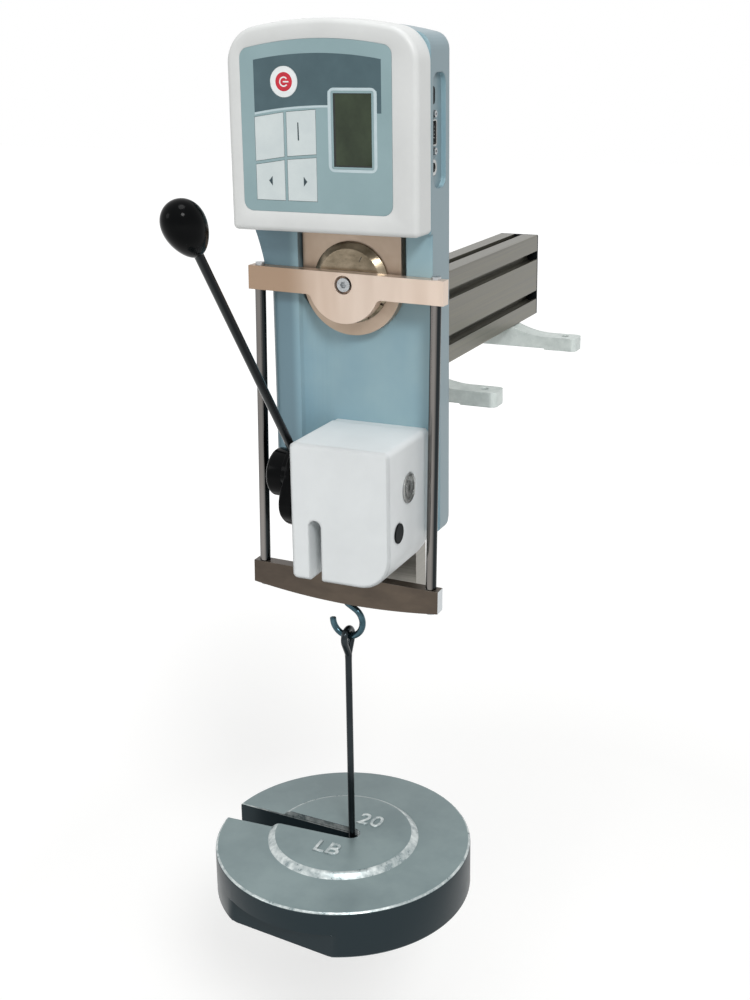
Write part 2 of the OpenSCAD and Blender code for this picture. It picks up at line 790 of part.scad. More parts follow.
module console_bezel()
    color("#dadbdb")
        difference() {
            union() {
                difference() {
                    union() {
                        from_front(head_y, console_t - bezel_edge_r)
                            polygon(arched(console_left, half_w, console_z, console_top,
                                corner_r, console_r, 0));
                        // The front edge is rounded in steps along a quarter circle
                        for (k = [0:bezel_steps - 1])
                            let (a = 90 * k / bezel_steps, b = 90 * (k + 1) / bezel_steps)
                            from_front(console_y + bezel_edge_r + over,
                                bezel_edge_r * sin(b) + over)
                                polygon(arched(console_left, half_w, console_z, console_top,
                                    corner_r + bezel_edge_r / 4, console_r,
                                    bezel_edge_r * (1 - cos((a + b) / 2))));
                    }
                    from_front(head_y + over, console_t - console_wall + over)
                        polygon(arched(console_left, half_w, console_z, console_top,
                            corner_r, console_r, console_wall));
                }
                for (x = post_x, z = post_z)
                    rod_y([x, console_y + console_wall / 2, z], console_t - console_wall / 2, post_d);
                for (x = board_post_x, z = board_post_z)
                    rod_y([x, console_y + console_wall / 2, z],
                        console_wall / 2 + lcd_module_t, post_d);
            }
            from_front(console_y + label_t, label_t + over) label_outline(-fit_c);
            from_front(console_y + key_t + key_travel + run_c * 2, key_t + key_travel + over)
                all_keys(fit_c);
            for (k = key_places)
                let (p = key_centre(k[0], k[1]))
                rod_y([p[0], console_y, p[1]], console_wall + over, stem_d + fit_c * 2);
            rod_y([power_x, console_y, power_z], console_wall + over, stem_d + fit_c * 2);
            from_front(console_y + lcd_window_t, lcd_window_t + over)
                translate([lcd_x, lcd_z]) square([lcd_w + fit_c * 2, lcd_h + fit_c * 2], center = true);
            from_front(console_y + console_wall + over, console_wall + over * 2)
                translate([lcd_x, lcd_z])
                    square([lcd_w - lcd_ledge, lcd_h - lcd_ledge], center = true);
            for (x = post_x, z = post_z)
                rod_y([x, console_y + console_wall, z], console_t, screw_d + run_c * 2);
            for (x = board_post_x, z = board_post_z)
                rod_y([x, console_y + console_wall, z], console_t, screw_d + run_c * 2);
        }

module console_screws()
    color("#8c8f92") {
        for (x = post_x, z = post_z) {
            rod_y([x, head_y - console_t / 2, z], web_y - head_y + console_t / 2, screw_d);
            rod_y([x, web_y, z], screw_d * 0.6, screw_d * 2);
        }
        for (x = board_post_x, z = board_post_z) {
            rod_y([x, board_y - lcd_module_t / 2, z], lcd_module_t / 2 + board_t, screw_d);
            rod_y([x, board_y + board_t, z], screw_d * 0.6, screw_d * 2);
        }
    }

module label_overlay()
    color("#8fa8ab")
        difference() {
            from_front(console_y + label_t, label_t) label_outline(0);
            from_front(console_y + label_t + over, label_t + over * 2) all_keys(fit_c);
            from_front(console_y + label_t + over, label_t + over * 2)
                translate([lcd_x, lcd_z]) square([lcd_w + fit_c * 2, lcd_h + fit_c * 2], center = true);
        }

module key(c, r)
    color("#cdd6d6")
        let (p = key_centre(c, r)) {
            from_front(console_y + key_t, key_t) polygon(key_outline(c, r, 0));
            rod_y([p[0], console_y + key_t, p[1]],
                console_wall - key_t + key_travel * 2, stem_d);
        }

module key_upper_left() key(0, 0);
module key_upper_right() key(1, 0);
module key_lower_left() key(0, 1);
module key_lower_right() key(1, 1);

module power_key()
    color("#c8202c") {
        from_front(console_y + key_t, key_t) translate([power_x, power_z]) circle(d = power_d);
        rod_y([power_x, console_y + key_t, power_z],
            console_wall - key_t + key_travel * 2, stem_d);
    }

module lcd_window()
    color("#4a5a44", 0.6)
        from_front(console_y + lcd_window_t, lcd_window_t)
            translate([lcd_x, lcd_z]) square([lcd_w, lcd_h], center = true);

module lcd_module()
    color("#3f4a38")
        from_front(board_y, lcd_module_t)
            translate([lcd_x, lcd_z]) square([lcd_w + lcd_frame * 2, lcd_h + lcd_frame * 2], center = true);

board_edge = 5;

module main_board()
    color("#2f6b4a")
        difference() {
            from_front(board_y + board_t, board_t)
                polygon(arched(board_post_x[0] - board_edge, board_post_x[1] + board_edge,
                    board_post_z[0] - board_edge, board_post_z[1] + board_edge,
                    label_r / 2, label_r / 2, 0));
            for (x = board_post_x, z = board_post_z)
                rod_y([x, board_y - over, z], board_t + over * 2, screw_d + fit_c * 2);
        }

switch_y = console_y + console_wall + key_travel * 2 + gap + key_travel / 2;

module key_switches()
    color("#2a2c2e") {
        for (k = key_places)
            let (p = key_centre(k[0], k[1]))
            from_front(board_y, board_y - switch_y)
                translate(p) square(switch_w, center = true);
        from_front(board_y, board_y - switch_y)
            translate([power_x, power_z]) square(switch_w, center = true);
    }

cell_d = 14.5;
battery_l = 50;
battery_x = -64;
battery_z = 198;

module battery_pack()
    color("#3a6ea5")
        translate([battery_x, floor_y, battery_z]) {
            for (k = [0:3])
                translate([0, -cell_d / 2, cell_d / 2 + k * cell_d * 0.98])
                    rotate([0, 90, 0]) cylinder(h = battery_l, d = cell_d);
        }

// Connectors

module connector_board()
    color("#2f6b4a")
        block(port_board_x - board_t, port_board_x, port_y - pocket_w / 3, port_y + pocket_w / 2,
            pocket_z + wall, pocket_z + pocket_h - wall);

pocket_x = half_w - pocket_d;
inner_pocket_x = pocket_x - pocket_wall;

module serial_connector()
    color("#c3c5c4")
        translate([0, port_y, serial_z])
            difference() {
                union() {
                    from_side(inner_pocket_x - run_c, pocket_wall + run_c + pocket_d * 0.5)
                        soft_rect(serial_w, serial_h, serial_w / 4);
                    from_side(port_board_x, inner_pocket_x - port_board_x)
                        soft_rect(serial_w * 1.5, jack_screw_gap * 1.25, serial_w / 4);
                }
                from_side(pocket_x - pocket_wall / 2, pocket_d + pocket_wall)
                    soft_rect(serial_w - board_t, serial_h - board_t, serial_w / 6);
                for (s = [-1, 1])
                    rod_x([port_board_x - over, 0, s * jack_screw_gap / 2], wall * 6,
                        jack_screw_d * 0.6 + run_c * 2);
            }

module jack_screws()
    color("#b9bcbe")
        for (s = [-1, 1])
            translate([0, port_y, serial_z + s * jack_screw_gap / 2])
                difference() {
                    union() {
                        rod_x([pocket_x, 0, 0], pocket_d * 0.8, jack_screw_d, $fn = 6);
                        rod_x([port_board_x + run_c, 0, 0], pocket_x - port_board_x, jack_screw_d * 0.6);
                    }
                    rod_x([pocket_x + pocket_d * 0.2, 0, 0], pocket_d, jack_screw_d * 0.4);
                }

module usb_port()
    color("#9aa0a3")
        translate([0, port_y, usb_z])
            difference() {
                from_side(port_board_x, pocket_x - port_board_x)
                    square([usb_w, usb_h], center = true);
                from_side(port_board_x + pocket_wall, pocket_x)
                    square([usb_w - board_t / 2, usb_h - board_t / 2], center = true);
            }

module power_jack()
    color("#c3c5c4")
        translate([0, port_y, jack_z])
            difference() {
                rod_x([port_board_x, 0, 0], pocket_x - port_board_x + pocket_d * 0.3, jack_d);
                rod_x([port_board_x + pocket_wall, 0, 0], pocket_x, jack_d * 0.6);
            }

// Load cell, plate and disc

module load_cell()
    color("#b3b6b8")
        difference() {
            block(-load_cell_w / 2, load_cell_w / 2, web_y, cover_y - recess_gap,
                load_cell_z, load_cell_z + load_cell_h);
            for (s = [-1, 1])
                rod_x([-load_cell_w, (web_y + cover_y - recess_gap) / 2,
                    load_cell_z + load_cell_h / 2 + s * cell_foot_h / 3],
                    load_cell_w * 2, (cover_y - web_y) / 2);
            for (s = [-1, 1], z = [cell_foot_h / 2, load_cell_h - cell_foot_h / 2])
                rod_y([s * load_cell_w / 4, web_y - over, load_cell_z + z], (cover_y - web_y) / 2 + over,
                    base_screw_d + run_c * 2);
        }

module cell_spacer()
    color("#8c8f92")
        difference() {
            block(-load_cell_w / 2 + recess_gap, load_cell_w / 2 - recess_gap,
                floor_y - gap, web_y, load_cell_z + recess_gap / 2, load_cell_z + cell_foot_h);
            for (s = [-1, 1])
                rod_y([s * load_cell_w / 4, floor_y - over, load_cell_z + cell_foot_h / 2],
                    wall + over * 2, base_screw_d + fit_c * 2);
        }

module cell_screws()
    color("#55585a")
        for (s = [-1, 1]) {
            rod_y([s * load_cell_w / 4, plate_y, load_cell_z + cell_foot_h / 2],
                web_y - plate_y + base_screw_d, base_screw_d);
            rod_y([s * load_cell_w / 4, plate_y - base_screw_d * 0.6, load_cell_z + cell_foot_h / 2],
                base_screw_d * 0.6, base_screw_d * 1.8);
            rod_y([s * load_cell_w / 4, floor_y, load_cell_z + load_cell_h - cell_foot_h / 2],
                web_y - floor_y + base_screw_d, base_screw_d);
            rod_y([s * load_cell_w / 4, floor_y - base_screw_d * 0.6,
                load_cell_z + load_cell_h - cell_foot_h / 2],
                base_screw_d * 0.6, base_screw_d * 1.8);
        }

module cell_plate()
    color("#d0c4b2")
        difference() {
            from_front(plate_y + plate_t, plate_t) {
                translate([0, disc_z]) circle(plate_r);
                translate([-plate_r, disc_z]) square([plate_r * 2, plate_top - disc_z]);
            }
            rod_y([0, plate_y - over, disc_z], plate_t * 2, pin_d + run_c * 2);
            for (s = [-1, 1])
                rod_y([s * load_cell_w / 4, plate_y - over, load_cell_z + cell_foot_h / 2],
                    plate_t * 2, base_screw_d + fit_c * 2);
        }

module disc_pin()
    color("#9a9c9d")
        difference() {
            rod_y([0, disc_y, disc_z], disc_t + gap + plate_t, pin_d);
            rod_y([0, disc_y - over, disc_z], disc_t + plate_t, centre_screw_d + run_c * 2);
        }

disc_slot_widths = [1.6, 2, 2.6, 3.2, 4];
disc_bevel = 5;

module terminal_disc()
    color("#cbc6ba")
        difference() {
            translate([0, disc_y + disc_t, disc_z]) rotate([90, 0, 0]) rotate_extrude()
                polygon([[0, 0], [disc_r, 0], [disc_r, disc_t / 4],
                    [disc_r - disc_bevel, disc_t], [0, disc_t]]);
            rod_y([0, disc_y - over, disc_z], disc_t + over * 2, pin_d + run_c * 2);
            for (k = [0:len(disc_slot_widths) - 1])
                translate([0, disc_y - over, disc_z]) rotate([0, 120 + k * 30, 0])
                    translate([-disc_slot_widths[k] / 2, 0, disc_r - disc_bevel * 1.8])
                        cube([disc_slot_widths[k], disc_t + over * 2, disc_r]);
        }

// Grip block

module block_outline(i)
    polygon(concat(arc([block_x0 + edge_r, block_z0 + edge_r], edge_r - i, 180, 270),
        arc([block_x1 - block_r, block_z0 + block_r], block_r - i, 270, 360, 12),
        arc([block_x1 - edge_r, block_top - edge_r], edge_r - i, 0, 90),
        arc([block_x0 + edge_r, block_top - edge_r], edge_r - i, 90, 180)));

module grip_base()
    color("#dfe1e3")
        difference() {
            from_front(floor_y, base_t) block_outline(recess_gap / 2);
            for (x = base_screw_x, z = base_screw_z)
                rod_y([x, base_y - over, z], base_t + over * 2, base_screw_d + run_c * 2);
        }

base_post_t = 4;

module base_screws()
    color("#55585a")
        for (x = base_screw_x, z = base_screw_z)
            let (tip = x < 0 && z < -shaft_drop ? base_y + gap : base_y - base_post_t + gap) {
                rod_y([x, tip, z], web_y - tip, base_screw_d);
                rod_y([x, web_y, z], base_screw_d * 0.6, base_screw_d * 1.8);
            }

module grip_housing()
    color("#dfe1e3")
        difference() {
            union() {
                difference() {
                    union() {
                        from_front(base_y, block_t - base_t - edge_r / 2) block_outline(0);
                        for (k = [0:1])
                            from_front(block_y + edge_r / 4 * (2 - k), edge_r / 4)
                                block_outline(edge_r / 8 * (1 + 2 * k));
                    }
                    from_front(base_y + over, block_t - base_t - block_wall + over)
                        block_outline(block_wall - run_c);
                }
                // Walls of the wire channel
                block(wire_slot_x - wire_slot_w / 2 - block_wall, wire_slot_x + wire_slot_w / 2 + block_wall,
                    block_y + block_wall / 2, block_y + channel_d,
                    block_z0 + block_wall / 2, block_z0 + wire_slot_h + block_wall);
                // Bosses round the shaft and posts for the base screws
                rod_x([block_x0 + block_wall / 2, shaft_y, shaft_z], block_wall / 2 + bush_boss_l,
                    bush_boss_d);
                rod_x([inner_x1 - bush_boss_l, shaft_y, shaft_z], block_wall / 2 + bush_boss_l,
                    bush_boss_d);
                for (x = base_screw_x, z = base_screw_z)
                    if (!(x < 0 && z < -shaft_drop))
                        rod_y([x, base_y - base_post_t, z], base_post_t, base_screw_d * 2);
                for (x = guide_x)
                    rod_z([x, guide_y, inner_z1 - guide_sink], guide_sink + block_wall / 2, guide_d * 1.8);
            }
            // Wire slot, open to the front and through the bottom
            from_front(block_y + channel_d + over, channel_d + over * 2) {
                translate([wire_slot_x, block_z0 + wire_slot_h - wire_slot_w / 2])
                    circle(d = wire_slot_w);
                translate([wire_slot_x - wire_slot_w / 2, block_z0 - over])
                    square([wire_slot_w, wire_slot_h - wire_slot_w / 2 + over]);
            }
            rod_x([block_x0 - over, shaft_y, shaft_z], block_w + over * 2, bush_d + run_c * 2);
            rod_x([inner_x1, shaft_y, shaft_z], block_wall + over, end_cap_d + gap * 2);
            rod_x([inner_x1 - over, plug_y, plug_z], block_wall + over * 2, plug_d + run_c * 2);
            for (x = base_screw_x, z = base_screw_z)
                if (!(x < 0 && z < -shaft_drop))
                    rod_y([x, base_y - base_post_t - over, z], base_post_t + over * 2,
                        base_screw_d + run_c * 2);
            for (x = guide_x)
                rod_z([x, guide_y, inner_z0 - guide_sink], inner_z1 - inner_z0 + guide_sink * 2,
                    guide_d + run_c * 2);
        }

module side_plug()
    color("#1b1c1e")
        difference() {
            union() {
                rod_x([inner_x1, plug_y, plug_z], block_wall + over, plug_d);
                rod_x([block_x1, plug_y, plug_z], block_wall / 5, plug_d * 1.06);
            }
            rod_x([inner_x1 - over, plug_y, plug_z], block_wall / 2, plug_d * 0.7);
        }

module shaft_bushings()
    color("#b08d57")
        for (side = [0, 1])
            difference() {
                union() {
                    rod_x([side == 0 ? block_x0 : inner_x1 - bush_boss_l, shaft_y, shaft_z],
                        side == 0 ? block_wall + bush_boss_l : bush_boss_l, bush_d);
                    rod_x([side == 0 ? inner_x0 + bush_boss_l
                        : inner_x1 - bush_boss_l - bush_flange_t, shaft_y, shaft_z],
                        bush_flange_t, bush_flange_d);
                }
                rod_x([block_x0 - over, shaft_y, shaft_z], block_w + over * 2, shaft_d + run_c * 2);
            }

module guide_rods()
    color("#a8abad")
        for (x = guide_x)
            rod_z([x, guide_y, inner_z0 - guide_sink], inner_z1 - inner_z0 + guide_sink * 2, guide_d);

// Carriage, rack, cams and pinion

carriage_z = carriage_top - carriage_h;
rack_over = 2;
rack_top = shaft_z + carriage_travel + rack_over;

module carriage()
    color("#8c9094")
        difference() {
            union() {
                block(carriage_x0, carriage_x1, carriage_y - carriage_t, carriage_y,
                    carriage_z, carriage_top);
                block(gear_x, gear_x + gear_w, rack_y - rack_t, carriage_y - carriage_t + over,
                    carriage_z, carriage_top - gap);
            }
            for (x = guide_x)
                rod_z([x, guide_y, carriage_z - over], carriage_h + over * 2, guide_d + run_c * 2);
            for (s = [-1, 1])
                rod_y([s * cam_x, carriage_y - carriage_t - over, cam_z], cam_pin_sink + over,
                    cam_pin_d + run_c * 2);
        }

// Straight teeth on the side that faces the pinion
module rack()
    color("#8c9094")
        from_side(gear_x, gear_w)
            let (n = floor((rack_top - carriage_top) / tooth_pitch),
                z0 = shaft_z + tooth_pitch / 2
                    - tooth_pitch * floor((shaft_z - carriage_top) / tooth_pitch),
                ht = tooth_pitch / 4 - backlash / 2, ta = tan(pressure_angle))
            polygon(concat([[rack_y - rack_t, rack_top], [rack_y - rack_t, carriage_top - gap],
                [rack_y - tooth_root, carriage_top - gap]],
                [for (k = [0:n - 1], p = [[-tooth_root, -1], [tooth_tip, -1], [tooth_tip, 1],
                    [-tooth_root, 1]])
                    if (z0 + k * tooth_pitch + ht * 2 < rack_top)
                        [rack_y + p[0], z0 + k * tooth_pitch + p[1] * (ht - p[0] * ta)]],
                [[rack_y - tooth_root, rack_top]]));

base_circle = pitch_r * cos(pressure_angle);
function involute(r) = let (a = acos(min(1, base_circle / r))) tan(a) * 180 / PI - a;
function tooth_half(r) = (tooth_pitch / 4 - backlash / 2) / pitch_r * 180 / PI
    + involute(pitch_r) - involute(r);
tooth_radii = [pitch_r - tooth_root, base_circle, pitch_r, pitch_r + tooth_tip / 2,
    pitch_r + tooth_tip];

module pinion()
    color("#8c9094")
        difference() {
            from_side(gear_x, gear_w)
                translate([shaft_y, shaft_z])
                    polygon([for (k = [0:pinion_teeth - 1], j = [0:9])
                        let (r = tooth_radii[j < 5 ? j : 9 - j], h = tooth_half(max(r, base_circle)),
                            a = 180 + k * 360 / pinion_teeth + (j < 5 ? -h : h))
                        r * [cos(a), sin(a)]]);
            rod_x([gear_x - over, shaft_y, shaft_z], gear_w + over * 2, shaft_d + run_c * 2);
        }

module cam_pins()
    color("#a8abad")
        for (s = [-1, 1])
            rod_y([s * cam_x, cam_y - cam_t - gap, cam_z],
                carriage_y - carriage_t + cam_pin_sink - cam_y + cam_t + gap, cam_pin_d);

module cam_springs()
    color("#b9bcbe")
        for (s = [-1, 1])
            difference() {
                rod_y([s * cam_x, cam_y + gap, cam_z], spring_t, spring_d);
                rod_y([s * cam_x, cam_y, cam_z], spring_t + over, cam_pin_d + fit_c * 2);
            }

// A knurled eccentric disc that closes on the wire from one side
module grip_cam(s)
    color("#3a3c3e")
        difference() {
            rod_y([s * cam_x, cam_y - cam_t, cam_z - cam_off], cam_t, cam_r * 2);
            rod_y([s * cam_x, cam_y - cam_t - over, cam_z], cam_t + over * 2,
                cam_pin_d + run_c * 2);
        }

module grip_cam_left() grip_cam(-1);
module grip_cam_right() grip_cam(1);

// Lever

module lever_shaft()
    color("#a8abad")
        difference() {
            rod_x([hub_x0 + wall, shaft_y, shaft_z], inner_x1 + gap - hub_x0 - wall, shaft_d);
            rod_x([inner_x1 - shaft_d, shaft_y, shaft_z], shaft_d * 2, end_cap_d / 4);
        }

module shaft_end_cap()
    color("#c3c5c4")
        difference() {
            union() {
                rod_x([inner_x1 + gap, shaft_y, shaft_z], end_cap_t, end_cap_d);
                rod_x([inner_x1 - shaft_d / 2, shaft_y, shaft_z], shaft_d, end_cap_d / 4 - run_c * 2);
            }
            difference() {
                rod_x([inner_x1 + gap + end_cap_t / 2, shaft_y, shaft_z], end_cap_t, end_cap_d * 0.78);
                rod_x([inner_x1, shaft_y, shaft_z], end_cap_t, end_cap_d * 0.5);
            }
            rod_x([inner_x1 + end_cap_t / 2, shaft_y, shaft_z], end_cap_t, end_cap_d * 0.26, $fn = 6);
        }

// The flange swells from its short radius at the lever's side to its full radius below
function flange_swell(a) =
    let (t = max(0, min(1, (0.25 - cos(a)) / 0.9))) t * t * (3 - 2 * t);

module lever_hub()
    color("#141516")
        difference() {
            union() {
                from_side(flange_x0 - over / 2, flange_x1 - flange_x0 + over / 2)
                    translate([shaft_y, shaft_z])
                        polygon([for (a = [0:5:355])
                            flange_r * (flange_short_share + (1 - flange_short_share) * flange_swell(a))
                                * [-sin(a), cos(a)]]);
                rod_x([hub_x0, shaft_y, shaft_z], flange_x0 - hub_x0, hub_r * 2);
            }
            rod_x([hub_x0 + wall, shaft_y, shaft_z], flange_x1 - hub_x0, shaft_d + run_c * 2);
            translate([lever_x, shaft_y, shaft_z]) rotate([lever_angle - 90, 0, 0])
                rod_z([0, 0, lever_sink], flange_r, lever_d + run_c * 2);
        }

module lever_rod()
    color("#77797b")
        translate([lever_x, shaft_y, shaft_z]) rotate([lever_angle - 90, 0, 0])
            rod_z([0, 0, lever_sink], lever_l - lever_sink - knob_l / 2 + knob_bore, lever_d);

// Egg profile of the knob: heights and radii as shares of its length and half width
knob_z_shares = [0, 0.08, 0.2, 0.34, 0.48, 0.6, 0.72, 0.82, 0.9, 0.96, 1];
knob_r_shares = [0.42, 0.54, 0.7, 0.86, 0.97, 1, 0.95, 0.82, 0.63, 0.4, 0];

module lever_knob()
    color("#0f1011")
        translate([lever_x, shaft_y, shaft_z]) rotate([lever_angle - 90, 0, 0])
            translate([0, 0, lever_l - knob_l / 2])
                difference() {
                    rotate_extrude()
                        polygon(concat([[0, 0]], [for (i = [0:len(knob_z_shares) - 1])
                            [knob_d / 2 * knob_r_shares[i], knob_l * knob_z_shares[i]]]));
                    rod_z([0, 0, -over], knob_bore + over, lever_d + run_c * 2);
                }

// Yoke and hook

module hung() translate([0, 0, disc_z]) rotate([0, yoke_tilt, 0]) children();

lobe_fillet = 4;
rod_sink = 9;
yoke_screw_d = 4;

module top_bar_outline()
    let (h = yoke_h / 2, f = lobe_fillet,
        a = asin((h + f) / (lobe_r + f)), fx = (lobe_r + f) * cos(a))
    polygon(concat([[-yoke_l / 2, h], [-yoke_l / 2, -h]],
        arc([-fx, -h - f], f, 90, a),
        arc([0, 0], lobe_r, 180 + a, 360 - a, 24),
        arc([fx, -h - f], f, 180 - a, 90),
        [[yoke_l / 2, -h], [yoke_l / 2, h]]));

module yoke_top_bar()
    color("#d9c9b4")
        hung() difference() {
            from_front(yoke_y + yoke_t, yoke_t) top_bar_outline();
            rod_y([0, yoke_y - over, 0], yoke_t + over * 2, centre_screw_d + fit_c * 2);
            rod_y([0, yoke_y - over, 0], centre_sink + over, centre_sink_d);
            for (s = [-1, 1]) {
                rod_z([s * rod_gap / 2, yoke_mid_y, -yoke_h], yoke_h / 2 + rod_sink,
                    rod_d + run_c * 2);
                rod_z([s * rod_gap / 2, yoke_mid_y, 0], yoke_h, yoke_screw_d + fit_c * 2);
            }
        }

screw_head_t = 2.2;

module yoke_screws()
    color("#b9bcbe")
        hung() {
            rod_y([0, yoke_y + centre_sink, 0], yoke_t - centre_sink + gap + disc_t + wall,
                centre_screw_d);
            difference() {
                rod_y([0, yoke_y + gap, 0], centre_sink - gap, centre_head_d);
                rod_y([0, yoke_y - over, 0], centre_sink / 2 + over, centre_head_d / 2, $fn = 6);
            }
            for (s = [-1, 1]) {
                rod_z([s * rod_gap / 2, yoke_mid_y, -yoke_h / 4], yoke_h * 0.75, yoke_screw_d);
                rod_z([s * rod_gap / 2, yoke_mid_y, yoke_h / 2], screw_head_t, yoke_screw_d * 1.7);
                rod_z([s * rod_gap / 2, yoke_mid_y, -yoke_drop - yoke_h / 2], yoke_h * 0.75,
                    yoke_screw_d);
                rod_z([s * rod_gap / 2, yoke_mid_y, -yoke_drop - yoke_h / 2 - screw_head_t],
                    screw_head_t, yoke_screw_d * 1.7);
            }
        }

module yoke_rods()
    color("#8d8f90")
        hung() for (s = [-1, 1])
            difference() {
                rod_z([s * rod_gap / 2, yoke_mid_y, -yoke_drop - yoke_h / 2 + rod_sink / 2],
                    yoke_drop - rod_sink / 2 + rod_sink, rod_d);
                rod_z([s * rod_gap / 2, yoke_mid_y, -yoke_h / 2], yoke_h, yoke_screw_d + run_c * 2);
                rod_z([s * rod_gap / 2, yoke_mid_y, -yoke_drop - yoke_h], yoke_h * 1.5,
                    yoke_screw_d + run_c * 2);
            }

module bottom_bar_outline()
    let (h = yoke_h / 2, r = (yoke_l * yoke_l / 4 + arch_drop * arch_drop) / (2 * arch_drop),
        a = asin(yoke_l / 2 / r))
    polygon(concat([[yoke_l / 2, h], [-yoke_l / 2, h]],
        arc([0, -h - arch_drop + r], r, 270 - a, 270 + a, 20)));

module yoke_bottom_bar()
    color("#6a5d50")
        hung() difference() {
            translate([0, 0, -yoke_drop]) from_front(yoke_y + yoke_t, yoke_t) bottom_bar_outline();
            for (s = [-1, 1]) {
                rod_z([s * rod_gap / 2, yoke_mid_y, -yoke_drop - yoke_h / 2 + rod_sink / 2], yoke_h,
                    rod_d + run_c * 2);
                rod_z([s * rod_gap / 2, yoke_mid_y, -yoke_drop - yoke_h], yoke_h * 2,
                    yoke_screw_d + fit_c * 2);
                rod_z([s * rod_gap / 2, yoke_mid_y, -yoke_drop - yoke_h - arch_drop],
                    yoke_h / 2 + arch_drop, yoke_screw_d * 1.7 + fit_c * 2);
            }
            rod_z([0, yoke_mid_y, -yoke_drop - yoke_h], yoke_h, hook_d + run_c * 2);
            rod_z([0, yoke_mid_y, arch_z - disc_z - over], hook_sink * 2 + over, hook_d * 1.5);
        }

module wire_arc(r, d, a)
    rotate_extrude(angle = a) translate([r, 0]) circle(d = d, $fn = 32);

module wire_joint(p, d) translate(p) sphere(d = d + run_c * 2);

module hook()
    color("#7f8b90")
        hung() translate([0, yoke_mid_y, -disc_z]) {
            rod_z([0, 0, arch_z + hook_sink], yoke_h * 0.6, hook_d);
            wire_joint([0, 0, arch_z + hook_sink], hook_d);
            translate([hook_bend_r, 0, arch_z + hook_sink]) rotate([90, 0, 0])
                rotate([0, 0, 180]) wire_arc(hook_bend_r, hook_d, hook_start_angle);
            wire_joint([hook_bend_r * (1 - cos(hook_start_angle)), 0,
                arch_z + hook_sink - hook_bend_r * sin(hook_start_angle)], hook_d);
            translate([hook_x + hook_r * cos(hook_start_angle), 0,
                hook_z + hook_r * sin(hook_start_angle)]) {
                rotate([0, -hook_start_angle, 0])
                    rod_z([0, 0, 0], hook_line_h / cos(hook_start_angle), hook_d);
                wire_joint([0, 0, 0], hook_d);
            }
            translate([hook_x, 0, hook_z]) rotate([90, 0, 0])
                rotate([0, 0, hook_start_angle - hook_sweep]) wire_arc(hook_r, hook_d, hook_sweep);
        }

// Hanger and weight

module hanger()
    color("#8f9394")
        translate([bowl_x, yoke_mid_y, 0]) {
            let (a = asin(eye_r / (eye_h - eye_r))) {
                translate([0, 0, eye_z - eye_r]) rotate([90, 0, 90])
                    rotate([0, 0, -a]) wire_arc(eye_r, hanger_d, 180 + a * 2);
                for (s = [-1, 1])
                    translate([0, s * eye_r * cos(a), eye_z - eye_r - eye_r * sin(a)]) {
                        rotate([180 - s * a, 0, 0])
                            rod_z([0, 0, 0], (eye_h - eye_r) * cos(a), hanger_d);
                        wire_joint([0, 0, 0], hanger_d);
                    }
                wire_joint([0, 0, eye_z - eye_h], hanger_d);
            }
            rod_z([0, 0, weight_bottom - hanger_plate_t], eye_z - eye_h - weight_bottom + hanger_plate_t,
                hanger_d);
            rod_z([0, 0, weight_bottom - hanger_plate_t - gap], hanger_plate_t, hanger_plate_d);
        }

module slotted_weight()
    color("#7d8d91")
        difference() {
            union() {
                rod_z([weight_x, weight_y, weight_bottom], weight_t, weight_r * 2);
                translate([weight_x, weight_y, weight_top])
                    cylinder(h = boss_h, r1 = boss_r, r2 = boss_r - boss_slope);
            }
            // Slot that tapers from the rim to its round inner end
            translate([0, 0, weight_bottom - over]) linear_extrude(weight_t + boss_h + over * 2) {
                translate([slot_end_x, weight_y]) circle(d = slot_end_w);
                polygon([[slot_end_x, weight_y - slot_end_w / 2],
                    [slot_end_x, weight_y + slot_end_w / 2],
                    [weight_x - weight_r - over, weight_y + slot_rim_w / 2],
                    [weight_x - weight_r - over, weight_y - slot_rim_w / 2]]);
            }
            // Flat on the lower half of the front
            translate([weight_x, weight_y, weight_bottom - over]) rotate([0, 0, flat_angle])
                translate([-weight_r, -weight_r - over, 0])
                    cube([weight_r * 2, flat_d + over, weight_t / 2 + over]);
        }

beam();
beam_end_cap();
front_foot();
rear_foot();
foot_screws();
foot_tnuts();
mount_bar();
beam_screws();
tester_screws();
body_housing();
back_cover();
console_bezel();
console_screws();
label_overlay();
power_key();
key_upper_left();
key_upper_right();
key_lower_left();
key_lower_right();
lcd_window();
lcd_module();
main_board();
key_switches();
battery_pack();
connector_board();
serial_connector();
jack_screws();
usb_port();
power_jack();
load_cell();
cell_spacer();
cell_screws();
cell_plate();
disc_pin();
terminal_disc();
grip_base();
base_screws();
grip_housing();
side_plug();
shaft_bushings();
guide_rods();
carriage();
rack();
cam_pins();
cam_springs();
grip_cam_left();
grip_cam_right();
pinion();
lever_shaft();
shaft_end_cap();
lever_hub();
lever_rod();
lever_knob();
yoke_top_bar();
yoke_screws();
yoke_rods();
yoke_bottom_bar();
hook();
hanger();
slotted_weight();
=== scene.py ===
# Wire crimp pull tester on its calibration beam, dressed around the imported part
import math

import bpy
import numpy as np
from mathutils import Matrix, Vector


